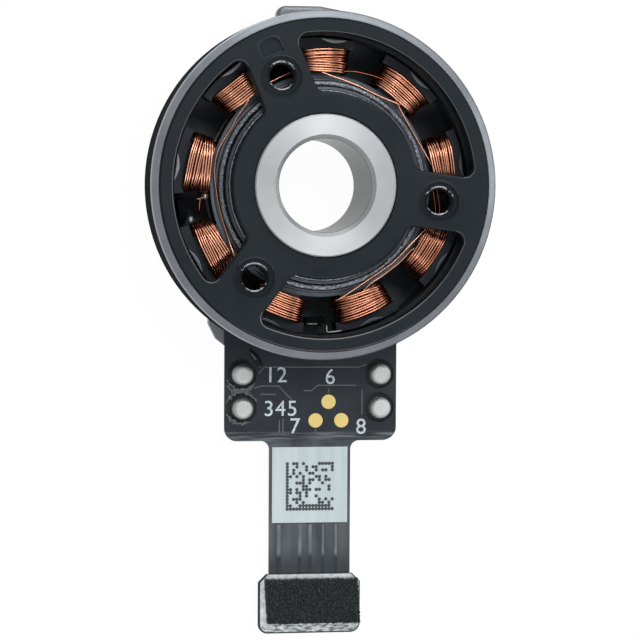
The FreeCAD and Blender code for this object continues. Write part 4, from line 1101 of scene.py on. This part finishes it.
def slot_terminals():
    """Terminals that stand on the film in two slots: posts of revolution that end in a drop, whose radius is
    that of a sphere cut at each height, and bent round leads along smooth curves."""
    for finish, x, y, top, drop in SLOT_POSTS:
        bead = top - drop + drop * np.sin(np.linspace(*DROP_SPAN, DROP_STEPS))
        lift = np.concatenate([np.linspace(FILM_TOP, top - 2 * drop, POST_STEPS), bead])
        ball = drop * np.sqrt(np.clip(1 - ((lift - top) / drop + 1) ** 2, 0, 1))
        radius = np.where(lift > top - drop, ball, np.maximum(ball, POST_RADIUS))
        path = np.stack([np.full(len(lift), x), np.full(len(lift), y), lift], axis=-1)
        post = sweep(path, (1.0, 0.0, 0.0), radius, sides=POST_SIDES)
        make_piece(f"slot_post_{finish}", post, FINISHES[finish], "stator")
    rods = [sweep(smooth_line(marks), ROD_AWAY, radius, sides=ROD_SIDES) for radius, marks in SLOT_RODS]
    make_piece("slot_leads", joined(rods), FINISHES["tinned"], "stator")
    path = smooth_line(WIRE_END)
    end = make_piece("slot_wire_end", sweep(path, WIRE_END_AWAY, CROSS_RADIUS), FINISHES["copper_wire"],
                     "stator")
    give_tone(end, np.full(len(path), WIRE_END_TONE), np.pi)


# Digits on the board, by place
NUMBERS = (("12", -2.38, -12.82), ("345", -2.07, -15.11), ("6", 1.34, -12.96), ("7", -1.08, -16.31),
           ("8", 3.49, -16.38))
NUMBER_HIGH = 1.05
NUMBER_THICK = 0.012
NUMBER_SIZE = 1.42
NUMBER_BOLD = 0.002
NUMBER_SPACE = 1.08


def number_shape(text, x, y):
    """Plain digits as a thin flat solid on the film, centred on a place."""
    curve = bpy.data.curves.new("digits", "FONT")
    curve.body = text
    curve.size = NUMBER_HIGH * NUMBER_SIZE
    curve.offset = NUMBER_BOLD
    curve.space_character = NUMBER_SPACE
    curve.extrude = NUMBER_THICK / 2
    curve.align_x = "CENTER"
    holder = bpy.data.objects.new("digits", curve)
    mesh = bpy.data.meshes.new_from_object(holder)
    points = np.empty(len(mesh.vertices) * 3)
    mesh.vertices.foreach_get("co", points)
    faces = [list(face.vertices) for face in mesh.polygons]
    bpy.data.objects.remove(holder)
    bpy.data.curves.remove(curve)
    bpy.data.meshes.remove(mesh)
    return points.reshape(-1, 3) + (x, y - NUMBER_HIGH / 2, FILM_TOP + NUMBER_THICK / 2), faces


def board_numbers():
    """White printed digits on the board."""
    shapes = [number_shape(*number) for number in NUMBERS]
    make_piece("board_numbers", joined(shapes), FINISHES["print"], "stator", smooth=False)


# Traces of the board, by their corners
TRACE_HALF = 0.045
TRACE_HIGH = 0.014
TRACE_STEPS = 24
TRACE_SIDES = 10
TRACES = (
    ((-3.6, -12.75), (-3.2, -12.30), (3.31, -12.33), (3.87, -12.13)),
    ((3.17, -13.58), (0.48, -13.56), (0.05, -13.93), (-0.50, -13.93)),
    ((-3.9, -13.75), (-3.40, -13.59), (-2.21, -13.60), (-1.30, -14.55)),
    ((-3.5, -14.15), (-2.4, -14.17)),
    ((0.34, -16.5), (0.34, -16.9)),
    ((1.23, -14.1), (1.23, -13.8)),
    ((-1.9, -15.8), (-1.9, -16.9)),
    ((-2.15, -15.9), (-2.15, -16.9)),
    ((3.55, -13.9), (3.55, -15.6)),
)


def board_traces():
    """Copper lines that lift the cover film: flat elliptic rods along the lines."""
    parts = []
    for trace in TRACES:
        corners = np.array(trace)
        last = len(corners) - 1
        share = np.linspace(0, last, TRACE_STEPS * last + 1)
        line = [np.interp(share, np.arange(len(corners)), corners[:, axis]) for axis in (0, 1)]
        path = np.stack([*line, np.full(len(share), FILM_TOP)], axis=-1)
        parts.append(sweep(path, UPWARD, TRACE_HALF, TRACE_HIGH, TRACE_SIDES))
    make_piece("board_traces", joined(parts), FINISHES["trace"], "stator")


# Conductor edges along the tail
STRIPS = (-2.13, -0.67, 0.03, 0.93, 1.82)
STRIP_HALF = (0.14, 0.12, 0.13, 0.08, 0.10)
STRIP_HIGH = 0.03
STRIP_END = 0.25
STRIP_GAP = 0.12
STRIP_STEPS = 60
STRIP_SIDES = 12


def tail_strips():
    """Edges of the conductors under the tail's film: ridges whose height fades along the tail as a squared
    cosine."""
    parts = []
    start, end = LABEL_LOW[1] - STRIP_GAP, TAIL_END - STRIP_GAP
    share = np.linspace(0, 1, STRIP_STEPS)
    for x, half in zip(STRIPS, STRIP_HALF):
        y = start + (end - start) * share
        path = np.stack([np.full(STRIP_STEPS, x), y, np.full(STRIP_STEPS, TAIL_TOP)], axis=-1)
        high = STRIP_HIGH * (STRIP_END + (1 - STRIP_END) * np.cos(share * np.pi / 2) ** 2)
        parts.append(sweep(path, UPWARD, half, high, STRIP_SIDES))
    make_piece("tail_strips", joined(parts), FINISHES["strip"], "stator")


# Dots on the label
DOT_COUNT = 15
DOT_PITCH = 0.222
DOT_RADIUS = 0.12
DOT_SIDES = 10
DOT_THICK = 0.008
DOT_SHARE = 0.36
DOT_DROP = 0.1
DOT_HASH = (12.9898, 78.233, 43758.5453)


def label_dots():
    """A field of printed dots with two full edges: elsewhere a place on the square grid is inked where a
    hash of its row and column, the fraction of a large sine, lies under the share of inked places."""
    row, column = np.meshgrid(np.arange(DOT_COUNT), np.arange(DOT_COUNT), indexing="ij")
    by_row, by_column, large = DOT_HASH
    chance = np.abs(np.sin(row * by_row + column * by_column) * large) % 1
    inked = (chance < DOT_SHARE) | (row == 0) | (column == 0)
    centre = (LABEL_LOW + LABEL_HIGH) / 2
    x = centre[0] + (column[inked] - (DOT_COUNT - 1) / 2) * DOT_PITCH
    y = centre[1] - DOT_DROP + (row[inked] - (DOT_COUNT - 1) / 2) * DOT_PITCH
    turn = np.linspace(0, 2 * np.pi, DOT_SIDES, endpoint=False)
    rim = np.stack([np.cos(turn), np.sin(turn)], axis=-1) * DOT_RADIUS
    flat = np.stack([x, y], axis=-1)[:, None, :] + rim
    levels = [np.concatenate([flat, np.full((*flat.shape[:2], 1), z)], axis=-1)
              for z in (LABEL_TOP, LABEL_TOP + DOT_THICK)]
    faces = tube_faces(2, DOT_SIDES)
    dots = [(np.concatenate(pair), faces) for pair in zip(*levels)]
    make_piece("label_dots", joined(dots), FINISHES["ink"], "stator", smooth=False)


# Glue on the board: middle, half width, half length, height, lumps and lean
GLUE_DAB = ((-3.76, -11.74, FILM_TOP), 0.24, 0.80, 0.06, 0.08, 33.0)
# Grey streak along the dab's crest: a painted highlight.
GLUE_HIGHLIGHT = ((-3.90, -11.62, FILM_TOP + 0.03), 0.09, 0.36, 0.04, 0.10, 39.0)


def board_glue():
    """Black epoxy by the rotor, with a grey streak along its crest that is a painted highlight."""
    make_piece("board_glue", dome(*GLUE_DAB), FINISHES["glue"], "stator")
    make_piece("board_glue_highlight", dome(*GLUE_HIGHLIGHT), FINISHES["trace"], "stator")


# Flux round the two left pins: pin, radius, first and last angle
UPPER_PIN = (-4.73, -12.8)
LOWER_PIN = (-4.73, -15.1)
RESIDUE_RINGS = ((LOWER_PIN, 1.09, 25, 165), (UPPER_PIN, 1.06, 200, 330), (LOWER_PIN, 1.08, 200, 300),
                 (LOWER_PIN, 1.18, 60, 120), (UPPER_PIN, 1.16, 235, 310), (UPPER_PIN, 1.24, 215, 290))
RESIDUE_SEED = SEED + 60
RESIDUE_STEPS = 90
RESIDUE_SIDES = 9
RESIDUE_WANDER = 0.03
RESIDUE_WIDE = (0.05, 0.07)
RESIDUE_HIGH = (0.008, 0.014)
RESIDUE_TIP = 0.05
LUMP_CELLS = 4.0
WANDER_CELLS = 8.0


def board_residue():
    """Thin rings of flux: flat elliptic rods along arcs that wander with filtered noise, wider and higher
    where a finer noise is far from zero, and tapered as the root of a sine."""
    rng = np.random.default_rng(RESIDUE_SEED)
    cells = 1, RESIDUE_STEPS
    taper = np.sin(np.linspace(RESIDUE_TIP, np.pi - RESIDUE_TIP, RESIDUE_STEPS)) ** 0.5
    parts = []
    for (x, y), radius, start, end in RESIDUE_RINGS:
        angle = np.linspace(start, end, RESIDUE_STEPS)
        lumps = np.abs(filtered_noise(cells, LUMP_CELLS, rng)[0])
        reach = radius + RESIDUE_WANDER * filtered_noise(cells, WANDER_CELLS, rng)[0]
        path = polar(angle, reach, FILM_TOP) + (x, y, 0)
        wide, high = (least + more * lumps for least, more in (RESIDUE_WIDE, RESIDUE_HIGH))
        parts.append(sweep(path, UPWARD, wide * taper, high * taper, RESIDUE_SIDES))
    make_piece("board_residue", joined(parts), FINISHES["residue"], "stator")


# Foam on the end plate, with noises by height and cells
FOAM_SEED = SEED + 80
FOAM_ROWS = 120
FOAM_COLUMNS = 240
FOAM_LEAN = 0.1
FOAM_WALL = 0.03
FOAM_SPREAD = 0.06
FOAM_FILL = 0.82
FOAM_REACH = 0.99
FOAM_WANDER = (0.018, 3.0)
FOAM_FINE = (0.028, 2.2)
FOAM_COARSE = (0.02, 9.0)
EDGE_POWER = 6


def foam_block():
    """Cut foam: a flat top that falls to the plate within a thin wall, as one minus an exponential of the
    distance to the edge, roughened by fine and coarse filtered noise; the edges wander with another."""
    rng = np.random.default_rng(FOAM_SEED)
    half_x, half_y = (FOAM_HIGH[:2] - FOAM_LOW[:2]) / 2 - (FOAM_LEAN - FOAM_SPREAD, 0.0)
    centre = (FOAM_HIGH[:2] + FOAM_LOW[:2]) / 2 + (FOAM_SPREAD, 0.0)
    across, along = np.meshgrid(np.linspace(-1, 1, FOAM_COLUMNS), np.linspace(-1, 1, FOAM_ROWS))
    edge = np.minimum(half_x * (1 - np.abs(across)), half_y * (1 - np.abs(along)))
    noises = [size * filtered_noise(across.shape, cells, rng)
              for size, cells in (FOAM_WANDER, FOAM_WANDER, FOAM_FINE, FOAM_COARSE)]
    wander_x, wander_y, fine, coarse = noises
    high = (FOAM_TOP - PLATE_TOP) * FOAM_FILL + (fine + coarse)
    x = centre[0] + half_x * across * FOAM_REACH - FOAM_LEAN * along + wander_x * np.abs(across) ** EDGE_POWER
    y = centre[1] + half_y * along * FOAM_REACH + wander_y * np.abs(along) ** EDGE_POWER
    z = PLATE_TOP + high * (1 - np.exp(-edge / FOAM_WALL))
    foam = make_piece("foam_block", sheet_solid(np.stack([x, y, z], axis=-1)), FINISHES["foam"], "stator",
                      ["foam_pad"])


# Stage, light and camera
CAMERA_PLACE = Vector((-29.12, -0.67, 182.35)) * MM
CAMERA_AIM = Vector((0.65, -9.13, 1.0)) * MM
CAMERA_ROLL = 0.3
CAMERA_LENS = 151.9
CAMERA_SENSOR = 36.0
CAMERA_CLIP = (0.01, 10.0)
FLOOR_WHITE = (0.95, 0.95, 0.95)
FLOOR_HALF = 1.5
FLOOR_GAP = 0.00002
SKY_LEVEL = 0.45
FLOOR_SHADE = 0.035


def light_path(tree):
    """One for rays from the camera and for those that were mirrored or let through, zero for the rest."""
    rays = tree.nodes.new("ShaderNodeLightPath").outputs
    seen = rays["Is Camera Ray"]
    for kind in ("Is Glossy Ray", "Is Transmission Ray"):
        added = tree.nodes.new("ShaderNodeMath")
        added.operation = "MAXIMUM"
        tree.links.new(seen, added.inputs[0])
        tree.links.new(rays[kind], added.inputs[1])
        seen = added.outputs[0]
    return seen


def make_sky():
    """A plain white surround for what is seen, and a softer one that lights the motor."""
    world = bpy.data.worlds.new("studio")
    bpy.context.scene.world = world
    world.use_nodes = True
    tree = world.node_tree
    tree.nodes.clear()
    levels = []
    for level in (SKY_LEVEL, 1.0):
        sky = tree.nodes.new("ShaderNodeBackground")
        sky.inputs["Color"].default_value = (1.0, 1.0, 1.0, 1.0)
        sky.inputs["Strength"].default_value = level
        levels.append(sky.outputs[0])
    mix = tree.nodes.new("ShaderNodeMixShader")
    tree.links.new(light_path(tree), mix.inputs[0])
    tree.links.new(levels[0], mix.inputs[1])
    tree.links.new(levels[1], mix.inputs[2])
    output = tree.nodes.new("ShaderNodeOutputWorld")
    tree.links.new(mix.outputs[0], output.inputs[0])


def make_floor():
    """A white floor that keeps the motor's shadow and is clear from below."""
    finish = Finish("white_floor", FLOOR_WHITE, 0.9, 0.0, Specular_IOR_Level=0.0)
    tree = finish.tree
    glow = finish.node("Emission", {"Color": (1.0, 1.0, 1.0, 1.0), "Strength": 1.0})
    seen = finish.times(light_path(tree), 1.0 - FLOOR_SHADE)
    lit = finish.node("MixShader", {0: seen, 1: finish.shader.outputs[0], 2: glow.outputs[0]})
    below = finish.node("NewGeometry").outputs["Backfacing"]
    clear = finish.node("BsdfTransparent")
    both = finish.node("MixShader", {0: below, 1: lit.outputs[0], 2: clear.outputs[0]})
    tree.links.new(both.outputs[0], tree.nodes["Material Output"].inputs["Surface"])
    corner = np.linspace(-FLOOR_HALF, FLOOR_HALF, 2)
    x, y = np.meshgrid(corner, corner)
    points = np.stack([x, y, np.full((2, 2), CAD_BOX[0].z - FLOOR_GAP)], axis=-1).reshape(-1, 3)
    mesh = bpy.data.meshes.new("floor")
    mesh.from_pydata(points.tolist(), [], grid_faces(2, 2))
    mesh.materials.append(finish.material)
    floor = bpy.data.objects.new("floor", mesh)
    bpy.context.scene.collection.objects.link(floor)


# Soft lamps: place, width and height in metres, and power in watts
LAMPS = {
    "key_softbox": ((0.08, 0.22, 0.48), 0.20, 0.20, 1.3),
    "front_softbox": ((0.04, -0.28, 0.44), 0.24, 0.20, 0.9),
    "back_softbox": ((0.08, 0.48, 0.20), 0.6, 0.20, 1.35),
    "right_softbox": ((0.45, 0.05, 0.20), 0.3, 0.2, 0.8),
}


def make_lamps():
    """Flat soft lamps that face the motor."""
    for name, (place, wide, high, power) in LAMPS.items():
        lamp = bpy.data.lights.new(name, "AREA")
        lamp.shape = "RECTANGLE"
        lamp.size = wide
        lamp.size_y = high
        lamp.energy = power
        holder = bpy.data.objects.new(name, lamp)
        holder.location = place
        holder.rotation_euler = (-Vector(place)).to_track_quat("-Z", "Y").to_euler()
        bpy.context.scene.collection.objects.link(holder)


def make_camera():
    """The photograph's view: from above, a little to the left, with +Y up in the picture."""
    camera = bpy.data.cameras.new("camera")
    camera.lens = CAMERA_LENS
    camera.sensor_width = CAMERA_SENSOR
    camera.clip_start, camera.clip_end = CAMERA_CLIP
    back = (CAMERA_PLACE - CAMERA_AIM).normalized()
    roll = np.radians(CAMERA_ROLL)
    right = Vector((-np.sin(roll), np.cos(roll), 0.0)).cross(back).normalized()
    holder = bpy.data.objects.new("camera", camera)
    turned = Matrix((right, back.cross(right), back)).transposed().to_4x4()
    holder.matrix_world = Matrix.Translation(CAMERA_PLACE) @ turned
    bpy.context.scene.collection.objects.link(holder)
    bpy.context.scene.camera = holder


dress_nodes()
for coil_number in range(1, TOOTH_COUNT + 1):
    winding(coil_number)
crossover_wires()
shoe_spots()
rim_ridges()
hole_rims()
magnet_filler()
slot_terminals()
board_numbers()
board_traces()
tail_strips()
label_dots()
board_glue()
board_residue()
foam_block()
make_sky()
make_floor()
make_lamps()
make_camera()
bpy.context.scene.view_settings.view_transform = "Standard"
